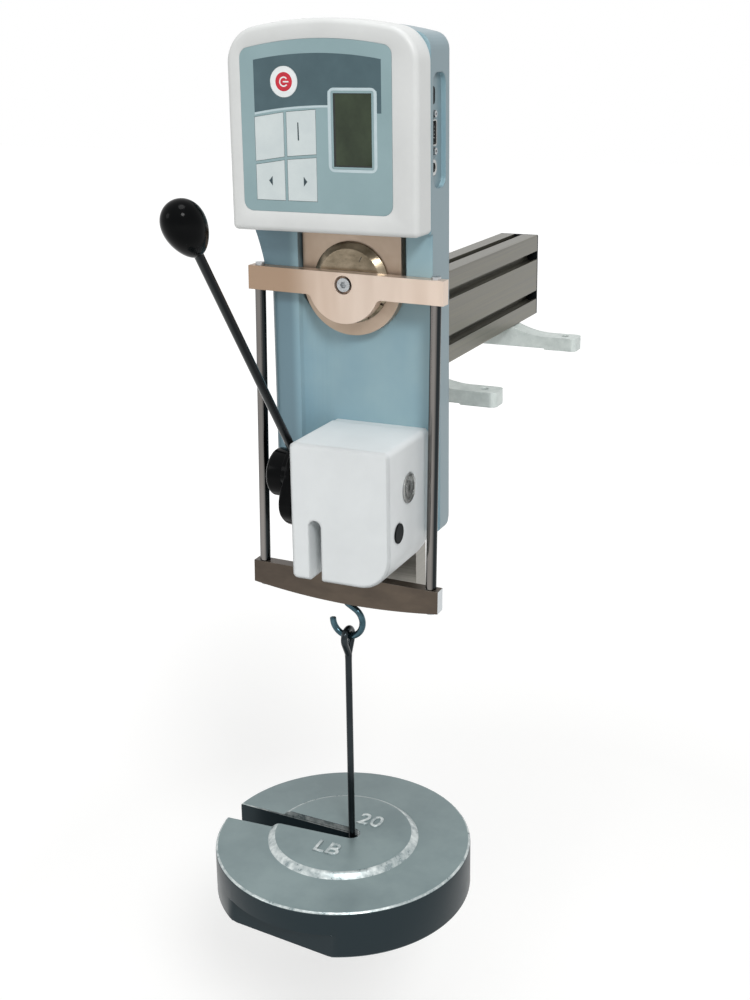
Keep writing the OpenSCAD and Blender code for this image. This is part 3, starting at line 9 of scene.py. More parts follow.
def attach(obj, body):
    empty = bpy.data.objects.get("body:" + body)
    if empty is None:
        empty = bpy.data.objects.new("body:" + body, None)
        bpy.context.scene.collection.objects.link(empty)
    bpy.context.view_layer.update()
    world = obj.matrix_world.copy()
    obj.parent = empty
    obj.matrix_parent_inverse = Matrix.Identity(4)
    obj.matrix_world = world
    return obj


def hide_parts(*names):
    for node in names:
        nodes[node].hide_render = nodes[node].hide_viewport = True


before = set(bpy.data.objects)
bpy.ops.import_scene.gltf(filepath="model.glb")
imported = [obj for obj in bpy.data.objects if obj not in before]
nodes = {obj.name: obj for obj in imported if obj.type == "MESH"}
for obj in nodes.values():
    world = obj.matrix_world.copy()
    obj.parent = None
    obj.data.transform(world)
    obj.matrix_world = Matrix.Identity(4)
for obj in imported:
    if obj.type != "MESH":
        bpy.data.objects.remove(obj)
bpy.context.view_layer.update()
print("frame loaded,", len(nodes), "nodes")

# Planes and places of the part, in millimetres
place = {
    "consoleY": -235.0, "headY": -212.5, "consoleX": -7.25,
    "shaftY": -234.2, "shaftZ": -31.7, "discZ": 108.0, "discY": -209.3,
    "yokeMidY": -214.65, "yokeTilt": 1.1, "bowlX": -3.72, "eyeZ": -159.03,
    "weightX": -11.72, "weightY": -214.05, "weightTop": -341.0, "weightThick": 38.5,
}


def linear(hexColour):
    # An sRGB hex colour as linear red, green, blue and alpha
    parts = [int(hexColour[i:i + 2], 16) / 255 for i in (1, 3, 5)]
    return [c / 12.92 if c <= 0.04045 else ((c + 0.055) / 1.055) ** 2.4 for c in parts] + [1.0]


def addNode(tree, kind, values=None, **settings):
    # One shader node: settings are its properties, values its sockets, each a number or a socket
    node = tree.nodes.new(kind)
    for key, value in settings.items():
        setattr(node, key, value)
    for key, value in (values or {}).items():
        if isinstance(value, bpy.types.NodeSocket):
            tree.links.new(value, node.inputs[key])
        else:
            node.inputs[key].default_value = value
    return node


def emptyTree(owner):
    # The node tree of a material or a world, with nothing in it
    owner.use_nodes = True
    owner.node_tree.nodes.clear()
    return owner.node_tree


def linked(name, data):
    # An object with this data, in the scene
    item = bpy.data.objects.new(name, data)
    bpy.context.scene.collection.objects.link(item)
    return item


# How the noise of a finish becomes its tone and roughness, and how far an edge must turn to take the
# bright edge tone, which is worn bare metal on some finishes and a painted highlight on others
mixing = {"detail": 4.0, "roughness": 0.6, "tone": (0.35, 0.65), "rough": (0.3, 0.7),
    "reliefDetail": 2.0, "turn": (0.97, 0.80), "edgeWearAndGlint": 0.7, "coatRough": 0.05, "ior": 1.5}


def makeFinish(name, look):
    # Two tones mixed by noise of a real grain size, roughness that follows it, and a fine relief.
    # soft rounds the light on sharp edges. A bright tone on those edges, patchy by the noise, is worn
    # bare metal on the tumbled feet and a painted highlight on the steel bars and disc.
    # aim gives the faces that look along an axis, or across it, a tone of their own: painted shade on
    # the housing's sides and the weight's walls, a painted reflection on the rods and lever, and the
    # bright cut ends of the lower bar. A ramp along an axis between two places in mm paints shade on
    # the housing's left wall and a darker reflection on the top bar
    finish = bpy.data.materials.new(name)
    tree = emptyTree(finish)
    coords = addNode(tree, "ShaderNodeTexCoord").outputs["Object"]
    grain = addNode(tree, "ShaderNodeMapping", {"Vector": coords,
        "Scale": [1000 / mm for mm in look["grain"]]}).outputs["Vector"]
    cloud = addNode(tree, "ShaderNodeTexNoise", {"Vector": grain, "Scale": 1.0,
        "Detail": mixing["detail"], "Roughness": mixing["roughness"]}).outputs["Fac"]
    tone = addNode(tree, "ShaderNodeMapRange", {"Value": cloud, "From Min": mixing["tone"][0],
        "From Max": mixing["tone"][1]})
    colour = addNode(tree, "ShaderNodeMix", {0: tone.outputs[0], 6: linear(look["low"]),
        7: linear(look["high"])}, data_type="RGBA").outputs[2]
    rough = addNode(tree, "ShaderNodeMapRange", {"Value": cloud, "From Min": mixing["rough"][0],
        "From Max": mixing["rough"][1], "To Min": look["rough"][0],
        "To Max": look["rough"][1]}).outputs[0]
    relief = addNode(tree, "ShaderNodeMapping", {"Vector": coords,
        "Scale": [1000 / mm for mm in look["reliefGrain"]]}).outputs["Vector"]
    height = addNode(tree, "ShaderNodeTexNoise", {"Vector": relief, "Scale": 1.0,
        "Detail": mixing["reliefDetail"]}).outputs["Fac"]
    bump = addNode(tree, "ShaderNodeBump", {"Height": height, "Strength": 1.0,
        "Distance": look["relief"] / 1000})
    if look.get("soft"):
        edge = addNode(tree, "ShaderNodeBevel", {"Radius": look["soft"] / 1000}, samples=4)
        tree.links.new(edge.outputs[0], bump.inputs["Normal"])
        # Edges brightened patchily by the noise: worn bare metal on the tumbled feet, a painted
        # highlight on the steel bars and disc
        if look.get("edgeWearAndGlint"):
            flat = addNode(tree, "ShaderNodeNewGeometry").outputs["Normal"]
            turn = addNode(tree, "ShaderNodeVectorMath", {0: flat, 1: edge.outputs[0]},
                operation="DOT_PRODUCT").outputs["Value"]
            edgeBright = addNode(tree, "ShaderNodeMapRange", {"Value": turn, "From Min": mixing["turn"][0],
                "From Max": mixing["turn"][1], "To Max": mixing["edgeWearAndGlint"]}).outputs[0]
            edgeSpots = addNode(tree, "ShaderNodeMath", {0: edgeBright, 1: tone.outputs[0]},
                operation="MULTIPLY").outputs[0]
            colour = addNode(tree, "ShaderNodeMix", {0: edgeSpots, 6: colour,
                7: linear(look["edgeWearAndGlint"])}, data_type="RGBA").outputs[2]
    # A tone by where the face looks: painted shade on the housing's sides and the weight's walls,
    # painted reflection on the rods and lever, and the lower bar's bright cut ends
    if look.get("aim"):
        aim = look["aim"]
        normal = addNode(tree, "ShaderNodeNewGeometry").outputs["Normal"]
        along = addNode(tree, "ShaderNodeVectorMath", {0: normal, 1: aim["axis"]},
            operation="DOT_PRODUCT").outputs["Value"]
        along = addNode(tree, "ShaderNodeMath", {0: along}, operation="ABSOLUTE").outputs[0]
        share = addNode(tree, "ShaderNodeMapRange", {"Value": along, "From Min": aim["from"],
            "From Max": aim["to"]}).outputs[0]
        colour = addNode(tree, "ShaderNodeMix", {0: share, 6: colour, 7: linear(aim["tint"])},
            data_type="RGBA").outputs[2]
    # Painted shade that deepens along an axis: on the housing's left wall, and as a darker reflection
    # on the top bar
    if look.get("paintedShadeRamp"):
        paintedShadeRamp = look["paintedShadeRamp"]
        spot = addNode(tree, "ShaderNodeVectorMath", {0: coords, 1: paintedShadeRamp["axis"]},
            operation="DOT_PRODUCT").outputs["Value"]
        share = addNode(tree, "ShaderNodeMapRange", {"Value": spot, "From Min": paintedShadeRamp["from"] / 1000,
            "From Max": paintedShadeRamp["to"] / 1000}, interpolation_type="SMOOTHSTEP").outputs[0]
        colour = addNode(tree, "ShaderNodeMix", {0: share, 6: colour, 7: linear(paintedShadeRamp["tint"])},
            data_type="RGBA").outputs[2]
    shader = addNode(tree, "ShaderNodeBsdfPrincipled", {"Base Color": colour, "Roughness": rough,
        "Normal": bump.outputs[0], "Metallic": look.get("metal", 0.0),
        "Coat Weight": look.get("coat", 0.0), "Coat Roughness": mixing["coatRough"],
        "Specular IOR Level": look.get("specular", 0.5), "IOR": mixing["ior"]})
    addNode(tree, "ShaderNodeOutputMaterial", {"Surface": shader.outputs[0]})
    return finish


# Finishes, each started from what the real surface is. grain and reliefGrain are the sizes of its
# patterns in mm along x, y and z. Brushed, drawn and milled lines, about a tenth of a millimetre
# wide on the real metal, are drawn 0.5 to 1.4 mm wide, so that they show from the camera
finishes = {
    # Powder coat over a moulded shell: even light blue with a faint orange peel, and painted shade
    # that makes it greyer wherever it does not face front or back, and deeper on the raised left wall
    "bluePowderCoat": {"low": "#83a5b3", "high": "#98b5bc", "grain": (90, 90, 110),
        "rough": (0.30, 0.38), "reliefGrain": (1.6, 1.6, 1.6), "relief": 0.008, "soft": 1.4,
        "aim": {"axis": (0, 1, 0), "from": 0.6, "to": 0.2, "tint": "#7b9199"},
        "paintedShadeRamp": {"axis": (1, 0, 0), "from": -41, "to": -49, "tint": "#6b8894"}},
    # The same coat on the rear cover, a little duller
    "coverPowderCoat": {"low": "#7c99a4", "high": "#86a4af", "grain": (40, 40, 40),
        "rough": (0.42, 0.5), "reliefGrain": (1.6, 1.6, 1.6), "relief": 0.014, "soft": 0.6},
    # Moulded ABS: off-white, satin, with a fine spark-eroded texture
    "whiteAbs": {"low": "#d4d6d5", "high": "#dadcdb", "grain": (45, 45, 45),
        "rough": (0.36, 0.46), "reliefGrain": (0.8, 0.8, 0.8), "relief": 0.004, "soft": 0.8},
    # Powder coat over machined aluminium: cooler white, smooth orange peel
    "whitePowderCoat": {"low": "#dbdfe0", "high": "#e2e6e7", "grain": (50, 50, 50),
        "rough": (0.34, 0.42), "reliefGrain": (1.8, 1.8, 1.8), "relief": 0.006, "soft": 2.6},
    # Screen-printed polyester film: satin, with a tight grain
    "printedFilm": {"low": "#89a2a6", "high": "#90a9ad", "grain": (60, 60, 60),
        "rough": (0.38, 0.46), "reliefGrain": (0.5, 0.5, 0.5), "relief": 0.003, "soft": 0.25},
    # Inks printed on that film: flat satin tones that drift a little, as a thin layer does
    "slateInk": {"low": "#3c545b", "high": "#455d64", "grain": (25, 25, 25),
        "rough": (0.38, 0.46), "reliefGrain": (0.5, 0.5, 0.5), "relief": 0.003},
    "paleInk": {"low": "#b9cbd0", "high": "#c3d3d7", "grain": (12, 12, 12),
        "rough": (0.38, 0.46), "reliefGrain": (0.5, 0.5, 0.5), "relief": 0.002},
    "darkInk": {"low": "#22343a", "high": "#2b3e45", "grain": (8, 8, 8),
        "rough": (0.4, 0.5), "reliefGrain": (0.5, 0.5, 0.5), "relief": 0.002},
    "whiteInk": {"low": "#e3e8e8", "high": "#eceff0", "grain": (8, 8, 8),
        "rough": (0.36, 0.44), "reliefGrain": (0.5, 0.5, 0.5), "relief": 0.002},
    "redInk": {"low": "#b8182e", "high": "#cc2338", "grain": (6, 6, 6),
        "rough": (0.3, 0.4), "reliefGrain": (0.5, 0.5, 0.5), "relief": 0.002},
    # Film domed over the keys: pale grey-green
    "keyFilm": {"low": "#c9d3d4", "high": "#d2dbdb", "grain": (20, 20, 20),
        "rough": (0.36, 0.44), "reliefGrain": (0.6, 0.6, 0.6), "relief": 0.004, "soft": 0.3},
    # Display window over an unlit reflective display: dark olive, glossy
    "displayGlass": {"low": "#2a3425", "high": "#3a4633", "grain": (28, 28, 36),
        "rough": (0.1, 0.14), "reliefGrain": (8, 8, 8), "relief": 0.001, "specular": 0.3},
    # Moulded frame of the display behind its window: matt, nearly black
    "displayBody": {"low": "#10150f", "high": "#181e16", "grain": (6, 6, 6),
        "rough": (0.4, 0.5), "reliefGrain": (1, 1, 1), "relief": 0.004},
    # Extruded and anodised aluminium: warm grey with drawn lines along the beam
    "anodisedAluminium": {"low": "#605e57", "high": "#747266", "grain": (1.4, 220, 1.4),
        "rough": (0.3, 0.42), "reliefGrain": (0.5, 90, 0.5), "relief": 0.004, "metal": 0.75,
        "soft": 0.4},
    # Cast and tumbled aluminium feet: light grey, softly mottled
    "tumbledAluminium": {"low": "#c6cfcc", "high": "#d6dedb", "grain": (7, 7, 7),
        "rough": (0.4, 0.52), "reliefGrain": (0.9, 0.9, 0.9), "relief": 0.01, "metal": 0.25,
        "soft": 0.8, "edgeWearAndGlint": "#e2e8e6"},
    # Milled aluminium bar, with the cutter's lines across it
    "milledAluminium": {"low": "#84827c", "high": "#96938c", "grain": (90, 90, 1.1),
        "rough": (0.3, 0.42), "reliefGrain": (60, 60, 0.6), "relief": 0.006, "metal": 0.8,
        "soft": 0.6},
    # Stainless brushed along the bar: warm and bright, with a painted highlight along its edges and a
    # painted darker, browner reflection towards the left end
    "brushedStainless": {"low": "#b8a08c", "high": "#dccabb", "grain": (70, 400, 400),
        "rough": (0.3, 0.38), "reliefGrain": (40, 0.5, 0.5), "relief": 0.0012, "metal": 0.6,
        "soft": 0.5, "edgeWearAndGlint": "#efe2d4",
        "paintedShadeRamp": {"axis": (1, 0, 0), "from": -14, "to": -48, "tint": "#a38a74"}},
    # The same steel in the plate behind the disc, brushed upright: greyer, with level light and a
    # painted highlight along its edges
    "brushedPlate": {"low": "#a28e7b", "high": "#bba896", "grain": (60, 60, 60),
        "rough": (0.3, 0.38), "reliefGrain": (0.5, 0.5, 40), "relief": 0.0012, "metal": 0.6,
        "soft": 0.5, "edgeWearAndGlint": "#efe2d4"},
    # Lower bar, brushed and left dark: brown-black, with freshly cut bright ends and a painted
    # highlight along its edges
    "darkStainless": {"low": "#40372f", "high": "#584d42", "grain": (60, 60, 25),
        "rough": (0.26, 0.36), "reliefGrain": (40, 0.5, 0.5), "relief": 0.0015, "metal": 0.6,
        "soft": 0.7, "edgeWearAndGlint": "#a59c92",
        "aim": {"axis": (1, 0, 0), "from": 0.85, "to": 0.97, "tint": "#c6cbce"}},
    # Turned and polished disc: warm, with slow light and dark clouds painted in as the reflection a
    # mirrored room gives, and a painted highlight along its edges
    "polishedSteel": {"low": "#5f5544", "high": "#a59782", "grain": (30, 30, 17),
        "rough": (0.16, 0.24), "reliefGrain": (3, 3, 3), "relief": 0.002, "metal": 0.85,
        "soft": 0.6, "edgeWearAndGlint": "#a89b88"},
    # Centreless-ground rod with faint rings along it, painted as a reflection: bright down the middle
    # where it faces front and back, and painted dark towards its edges
    "groundRod": {"low": "#6a6764", "high": "#7a7673", "grain": (40, 40, 120),
        "rough": (0.12, 0.18), "reliefGrain": (40, 40, 2), "relief": 0.0002, "metal": 0.95,
        "aim": {"axis": (0.03, 1, 0), "from": 0.97, "to": 0.72, "tint": "#222628"}},
    # Chromed lever rod: dark, with a painted highlight: only faces that look along one slanted
    # direction keep the rod's tone, and the rest are painted darker, leaving one narrow bright line
    "leverChrome": {"low": "#2f3233", "high": "#3a3d3d", "grain": (40, 40, 40),
        "rough": (0.1, 0.15), "reliefGrain": (6, 6, 6), "relief": 0.0003, "metal": 0.95,
        "aim": {"axis": (0.35, 0.76, 0.55), "from": 0.9, "to": 0.5, "tint": "#1c1e20"}},
    # Zinc plate on small screws: pale and softly bright
    "zincPlate": {"low": "#a2a5a7", "high": "#b8bbbd", "grain": (1.5, 1.5, 1.5),
        "rough": (0.24, 0.34), "reliefGrain": (0.6, 0.6, 0.6), "relief": 0.004, "metal": 0.9,
        "soft": 0.2},
    # Black oxide on socket screws: dull charcoal
    "blackOxide": {"low": "#3b3d3f", "high": "#4a4c4e", "grain": (2, 2, 2),
        "rough": (0.34, 0.44), "reliefGrain": (0.6, 0.6, 0.6), "relief": 0.004, "metal": 0.7,
        "soft": 0.2},
    # Nickel plate on connector shells and the shaft's cap: bright and slightly yellow
    "nickelShell": {"low": "#9a9c9a", "high": "#bdbfbe", "grain": (9, 9, 9),
        "rough": (0.16, 0.24), "reliefGrain": (2, 2, 2), "relief": 0.0008, "metal": 0.9,
        "soft": 0.25},
    # Digits etched into the disc and filled: flat brown-black
    "etchedDigit": {"low": "#2f2a22", "high": "#3a342b", "grain": (4, 4, 4),
        "rough": (0.4, 0.5), "reliefGrain": (0.5, 0.5, 0.5), "relief": 0.002},
    # Moulded phenolic: deep gloss black
    "blackPhenolic": {"low": "#050607", "high": "#0a0b0c", "grain": (18, 18, 18),
        "rough": (0.1, 0.15), "reliefGrain": (9, 9, 9), "relief": 0.001, "specular": 0.05,
        "soft": 0.6},
    # Moulded nylon plugs and caps: matt black
    "blackNylon": {"low": "#0d1012", "high": "#14181a", "grain": (8, 8, 8),
        "rough": (0.4, 0.5), "specular": 0.06, "reliefGrain": (0.7, 0.7, 0.7), "relief": 0.006,
        "soft": 0.3},
    # Blued round bar of the hook: dark blue-green, smooth and bright
    "bluedSteel": {"low": "#2b4149", "high": "#46606a", "grain": (9, 9, 9),
        "rough": (0.14, 0.22), "reliefGrain": (2, 2, 2), "relief": 0.001, "metal": 0.9},
    # Cold-drawn bar of the hanger: nearly black, with a sheen along it
    "drawnSteel": {"low": "#1f2427", "high": "#2f3538", "grain": (30, 30, 60),
        "rough": (0.14, 0.22), "reliefGrain": (0.8, 0.8, 40), "relief": 0.0006, "metal": 0.9},
    # Painted cast iron: grey and lumpy from the sand, with painted shade that makes its walls dark
    "castIronPaint": {"low": "#778789", "high": "#889899", "grain": (60, 60, 60),
        "rough": (0.3, 0.42), "reliefGrain": (5, 5, 5), "relief": 0.03, "metal": 0.35,
        "specular": 0.25,
        "aim": {"axis": (0, 0, 1), "from": 0.72, "to": 0.3, "tint": "#1f2c31"}},
    # The same casting rubbed to bright metal on its raised letters, and the same bright tone as a
    # painted highlight on the rim's rounded edge and the boss's lip
    "rubbedIronAndGlint": {"low": "#8d9b9d", "high": "#d5dcdb", "grain": (7, 7, 7),
        "rough": (0.24, 0.4), "reliefGrain": (3, 3, 3), "relief": 0.08, "metal": 0.6},
    # Printed circuit boards: green mask with a trace-like mottle
    "solderMask": {"low": "#1f5c3a", "high": "#2f7a4f", "grain": (1.2, 6, 1.2),
        "rough": (0.3, 0.4), "reliefGrain": (1, 1, 1), "relief": 0.01, "coat": 0.3},
    # Moulded bodies of the key switches: dark grey, matt
    "switchNylon": {"low": "#26282a", "high": "#303234", "grain": (3, 3, 3),
        "rough": (0.4, 0.5), "reliefGrain": (0.6, 0.6, 0.6), "relief": 0.005, "soft": 0.2},
    # Shrink wrap round the cells: glossy blue film
    "batteryWrap": {"low": "#2d62a0", "high": "#3a72b2", "grain": (12, 12, 12),
        "rough": (0.2, 0.3), "reliefGrain": (6, 6, 6), "relief": 0.02, "coat": 0.4},
    # Machined steel and aluminium inside: bright grey with fine cutter lines
    "machinedSteel": {"low": "#85898c", "high": "#979b9e", "grain": (40, 0.8, 0.8),
        "rough": (0.28, 0.38), "reliefGrain": (30, 0.5, 0.5), "relief": 0.004, "metal": 0.9,
        "soft": 0.4},
    # Hardened and ground cams, rack and pinion: darker and duller
    "toolSteel": {"low": "#5c5f62", "high": "#6d7073", "grain": (4, 4, 4),
        "rough": (0.3, 0.42), "reliefGrain": (0.8, 0.8, 0.8), "relief": 0.01, "metal": 0.85,
        "soft": 0.3},
    # Sintered bushings: golden brown, dull from their pores
    "sinteredBronze": {"low": "#9c7a48", "high": "#b39058", "grain": (1, 1, 1),
        "rough": (0.36, 0.5), "reliefGrain": (0.5, 0.5, 0.5), "relief": 0.01, "metal": 0.85,
        "soft": 0.3},
}
made = {name: makeFinish(name, look) for name, look in finishes.items()}
print("finishes made,", len(made))

# Which finish each CAD node takes
dressing = {
    "anodisedAluminium": ["beam"],
    "blackNylon": ["beam_end_cap", "side_plug"],
    "tumbledAluminium": ["front_foot", "rear_foot"],
    "zincPlate": ["foot_screws", "foot_tnuts", "console_screws", "jack_screws", "cam_springs",
        "yoke_screws"],
    "milledAluminium": ["mount_bar"],
    "blackOxide": ["beam_screws", "tester_screws", "cell_screws", "base_screws"],
    "bluePowderCoat": ["body_housing"],
    "coverPowderCoat": ["back_cover"],
    "whiteAbs": ["console_bezel"],
    "printedFilm": ["label_overlay"],
    "whiteInk": ["power_key"],
    "keyFilm": ["key_upper_left", "key_upper_right", "key_lower_left", "key_lower_right"],
    "displayGlass": ["lcd_window"],
    "displayBody": ["lcd_module"],
    "solderMask": ["main_board", "connector_board"],
    "switchNylon": ["key_switches"],
    "batteryWrap": ["battery_pack"],
    "nickelShell": ["serial_connector", "usb_port", "power_jack", "shaft_end_cap"],
    "machinedSteel": ["load_cell", "cell_spacer", "carriage"],
    "brushedPlate": ["cell_plate"],
    "groundRod": ["disc_pin", "guide_rods", "cam_pins", "lever_shaft", "yoke_rods"],
    "polishedSteel": ["terminal_disc"],
    "whitePowderCoat": ["grip_base", "grip_housing"],
    "sinteredBronze": ["shaft_bushings"],
    "toolSteel": ["rack", "grip_cam_left", "grip_cam_right", "pinion"],
    "blackPhenolic": ["lever_hub", "lever_knob"],
    "leverChrome": ["lever_rod"],
    "brushedStainless": ["yoke_top_bar"],
    "darkStainless": ["yoke_bottom_bar"],
    "bluedSteel": ["hook"],
    "drawnSteel": ["hanger"],
    "castIronPaint": ["slotted_weight"],
}
for finish, names in dressing.items():
    for name in names:
        nodes[name].data.materials.clear()
        nodes[name].data.materials.append(made[finish])
print("CAD nodes dressed")


def addMesh(name, mesh, finish, body, instead=()):
    # A mesh in its place becomes a piece: its finish and slot, its body, and the nodes it stands for
    mesh.materials.clear()
    mesh.materials.append(made[finish])
    piece = linked(name, mesh)
    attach(piece, body)
    if instead:
        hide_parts(*instead)
    return piece


def addPiece(name, points, faces, finish, body, smooth=True, instead=()):
    # A mesh from points in millimetres in the row frame and faces, riding on a body
    mesh = bpy.data.meshes.new(name)
    mesh.from_pydata((np.asarray(points, float) / 1000).tolist(), [], faces)
    mesh.polygons.foreach_set("use_smooth", [smooth] * len(mesh.polygons))
    mesh.update()
    return addMesh(name, mesh, finish, body, instead)


def loft(name, rings, finish, body, instead=(), caps=(True, True), angle=32, bands=()):
    # Skin between rings of equal length, each point joined to its neighbour on the next ring,
    # with a flat cap at each end. The signed volume, a sixth of the sum of corner cross corner
    # times corner, tells which way the faces must point. Edges past the angle stay crisp
    rings = np.asarray(rings, float)
    count, size = rings.shape[:2]
    i, j = np.meshgrid(np.arange(count - 1), np.arange(size), indexing="ij")
    k = (j + 1) % size
    quads = np.stack([i * size + j, i * size + k, (i + 1) * size + k, (i + 1) * size + j], -1)
    quads = quads.reshape(-1, 4)
    points = rings.reshape(-1, 3)
    a, b, c, d = (points[quads[:, n]] - points.mean(0) for n in range(4))
    volume = (np.cross(a, b) * c).sum() + (np.cross(a, c) * d).sum()
    for ring, sign in ((rings[0], -1), (rings[-1], 1)):
        fan = ring - points.mean(0)
        volume += sign * (np.cross(fan[:-1], fan[1:]) * fan[0]).sum()
    faces = quads.tolist()
    if caps[0]:
        faces.append(list(range(size))[::-1])
    if caps[1]:
        faces.append(list(range((count - 1) * size, count * size)))
    if volume < 0:
        faces = [face[::-1] for face in faces]
    piece = addPiece(name, points, faces, finish, body, True, instead)
    for n, (first, last, other) in enumerate(bands):
        # From one ring to another the skin takes another finish
        piece.data.materials.append(made[other])
        which = np.zeros(len(faces), int)
        piece.data.polygons.foreach_get("material_index", which)
        which[first * size:last * size] = n + 1
        piece.data.polygons.foreach_set("material_index", which)
    piece.data.set_sharp_from_angle(angle=math.radians(angle))


def ringsAlong(path, radius, sides=32):
    # Circles of the given radii square to a path, each turned from the last by the least angle:
    # centre + r (cos a side + sin a other)
    path = np.asarray(path, float)
    radius = np.broadcast_to(np.asarray(radius, float), (len(path),))
    ahead = np.gradient(path, axis=0)
    ahead /= np.linalg.norm(ahead, axis=1)[:, None]
    side = np.cross(ahead[0], [0.3, 0.9, 0.2])
    rings = []
    angle = np.linspace(0, 2 * np.pi, sides, endpoint=False)
    for centre, way, r in zip(path, ahead, radius):
        side = side - way * (side @ way)
        side /= np.linalg.norm(side)
        other = np.cross(way, side)
        rings.append(centre + r * (np.cos(angle)[:, None] * side + np.sin(angle)[:, None] * other))
    return np.array(rings)


def turned(profile, origin, axis, sides=64):
    # A profile of (distance along the axis, radius) turned round the axis: origin + distance times
    # the axis + radius (cos a side + sin a other)
    profile = np.asarray(profile, float)
    axis = np.asarray(axis, float) / np.linalg.norm(axis)
    side = np.cross(axis, [0.2, 0.3, 0.93])
    side /= np.linalg.norm(side)
    other = np.cross(axis, side)
    angle = np.linspace(0, 2 * np.pi, sides, endpoint=False)
    circle = np.cos(angle)[:, None] * side + np.sin(angle)[:, None] * other
    along = np.asarray(origin, float) + profile[:, :1] * axis
    return along[:, None, :] + profile[:, 1][:, None, None] * circle[None]


def arc(centre, radius, start, end, count):
    # Points on an arc of a plane, from one angle to another in degrees
    angle = np.radians(np.linspace(start, end, count))
    return np.stack([centre[0] + radius * np.cos(angle), centre[1] + radius * np.sin(angle)], -1)


def hung(points):
    # Points of the straight yoke turned by its tilt about the disc's axis
    points = np.asarray(points, float)
    tilt = math.radians(place["yokeTilt"])
    x, z = points[..., 0], points[..., 2] - place["discZ"]
    return np.stack([x * math.cos(tilt) + z * math.sin(tilt), points[..., 1],
        place["discZ"] - x * math.sin(tilt) + z * math.cos(tilt)], -1)


# Lever rod, knob and hub
lever = {"angle": 125.9, "reach": 245.5, "rod": 6.35, "x": -27.25, "sink": 14.0,
    "knob": 28.0, "knobLength": 39.0, "egg": 0.22, "neck": 32.0, "socket": 8.0,
    "chamfer": (0.3, 1.2)}
raised = math.radians(lever["angle"])
leverWay = np.array([0, math.cos(raised), math.sin(raised)])
shaftPoint = np.array([lever["x"], place["shaftY"], place["shaftZ"]])
knobStart = lever["reach"] - lever["knobLength"] / 2
rodEnds = [(along, lever["rod"] / 2) for along in (lever["sink"], knobStart + lever["socket"])]
loft("leverRod", turned(rodEnds, shaftPoint, leverWay, 48), "leverChrome", "lever", ["lever_rod"])
# The knob is an egg: radius sin t (1 - egg cos t) over height cos neck - cos t
theta = np.radians(np.linspace(lever["neck"], 179.0, 48))
neckCos = math.cos(math.radians(lever["neck"]))
eggHeight = (neckCos - np.cos(theta)) / (neckCos + 1)
eggRadius = np.sin(theta) * (1 - lever["egg"] * np.cos(theta))
eggRadius *= lever["knob"] / 2 / eggRadius.max()
egg = np.stack([knobStart + eggHeight * lever["knobLength"], eggRadius], -1)
rim = (knobStart + lever["chamfer"][0], eggRadius[0] - lever["chamfer"][1])
loft("leverKnob", turned(np.vstack([[rim], egg]), shaftPoint, leverWay), "blackPhenolic", "lever",
    ["lever_knob"], angle=60)

hub = {"flange": 38.0, "short": 22.8, "boss": 18.0, "left": -51.0, "step": -32.5, "right": -22.0,
    "edge": 1.6, "fillet": 3.4, "rounding": 2.4, "domed": 0.2, "sides": 120, "lobe": (0.25, 0.9)}


def hubRing(x, radius, lobe):
    # A circle that swells to the flange's radius on its lower side: r = short + (flange - short) w,
    # with w a smooth step of the angle from straight up, and lobe how much of the swelling counts
    around = np.linspace(0, 2 * np.pi, hub["sides"], endpoint=False)
    start, run = hub["lobe"]
    turn = np.clip((start - np.cos(around)) / run, 0, 1)
    swell = turn * turn * (3 - 2 * turn)
    r = radius - lobe * (hub["flange"] - hub["short"]) * (1 - swell)
    return np.stack([np.full(hub["sides"], x), place["shaftY"] + r * np.sin(around),
        place["shaftZ"] + r * np.cos(around)], -1)


# From the boss's domed face, round its edge, down its side, over the fillet and out to the flange
edge, fillet = hub["edge"], hub["fillet"]
quarter = np.radians(np.linspace(0, 90, 7))
rounding = hub["rounding"] * edge
rings = [hubRing(hub["left"], hub["boss"] - 6 * edge, 0),
    hubRing(hub["left"] + hub["domed"], hub["boss"] - 4 * edge, 0)]
rings += [hubRing(hub["left"] + rounding * (1 - math.sin(t)),
    hub["boss"] - rounding * (1 - math.cos(t)), 0) for t in quarter[::-1]]
rings += [hubRing(hub["step"] - fillet * math.cos(t), hub["boss"] + fillet * (1 - math.sin(t)), 0)
    for t in np.radians(np.linspace(90, 8, 9))]
rings += [hubRing(hub["step"], hub["flange"] - edge, 1)]
rings += [hubRing(hub["step"] + edge * (1 - math.cos(t)),
    hub["flange"] - edge * (1 - math.sin(t)), 1) for t in quarter[1:]]
rings += [hubRing(hub["right"] - edge * (1 - math.sin(t)),
    hub["flange"] - edge * (1 - math.cos(t)), 1) for t in quarter]
loft("leverHub", rings, "blackPhenolic", "lever", ["lever_hub"])
print("lever built")

# Yoke rods, hook and hanger
yoke = {"gap": 139.0, "rod": 8.0, "top": 99.6, "bottom": -113.0}
for sideName, sign in (("Left", -1), ("Right", 1)):
    line = hung([(sign * yoke["gap"] / 2, place["yokeMidY"], yoke[end]) for end in ("bottom", "top")])
    loft("yokeRod" + sideName, ringsAlong(line, yoke["rod"] / 2, 48), "groundRod", "yoke",
        ["yoke_rods"] if sign < 0 else ())

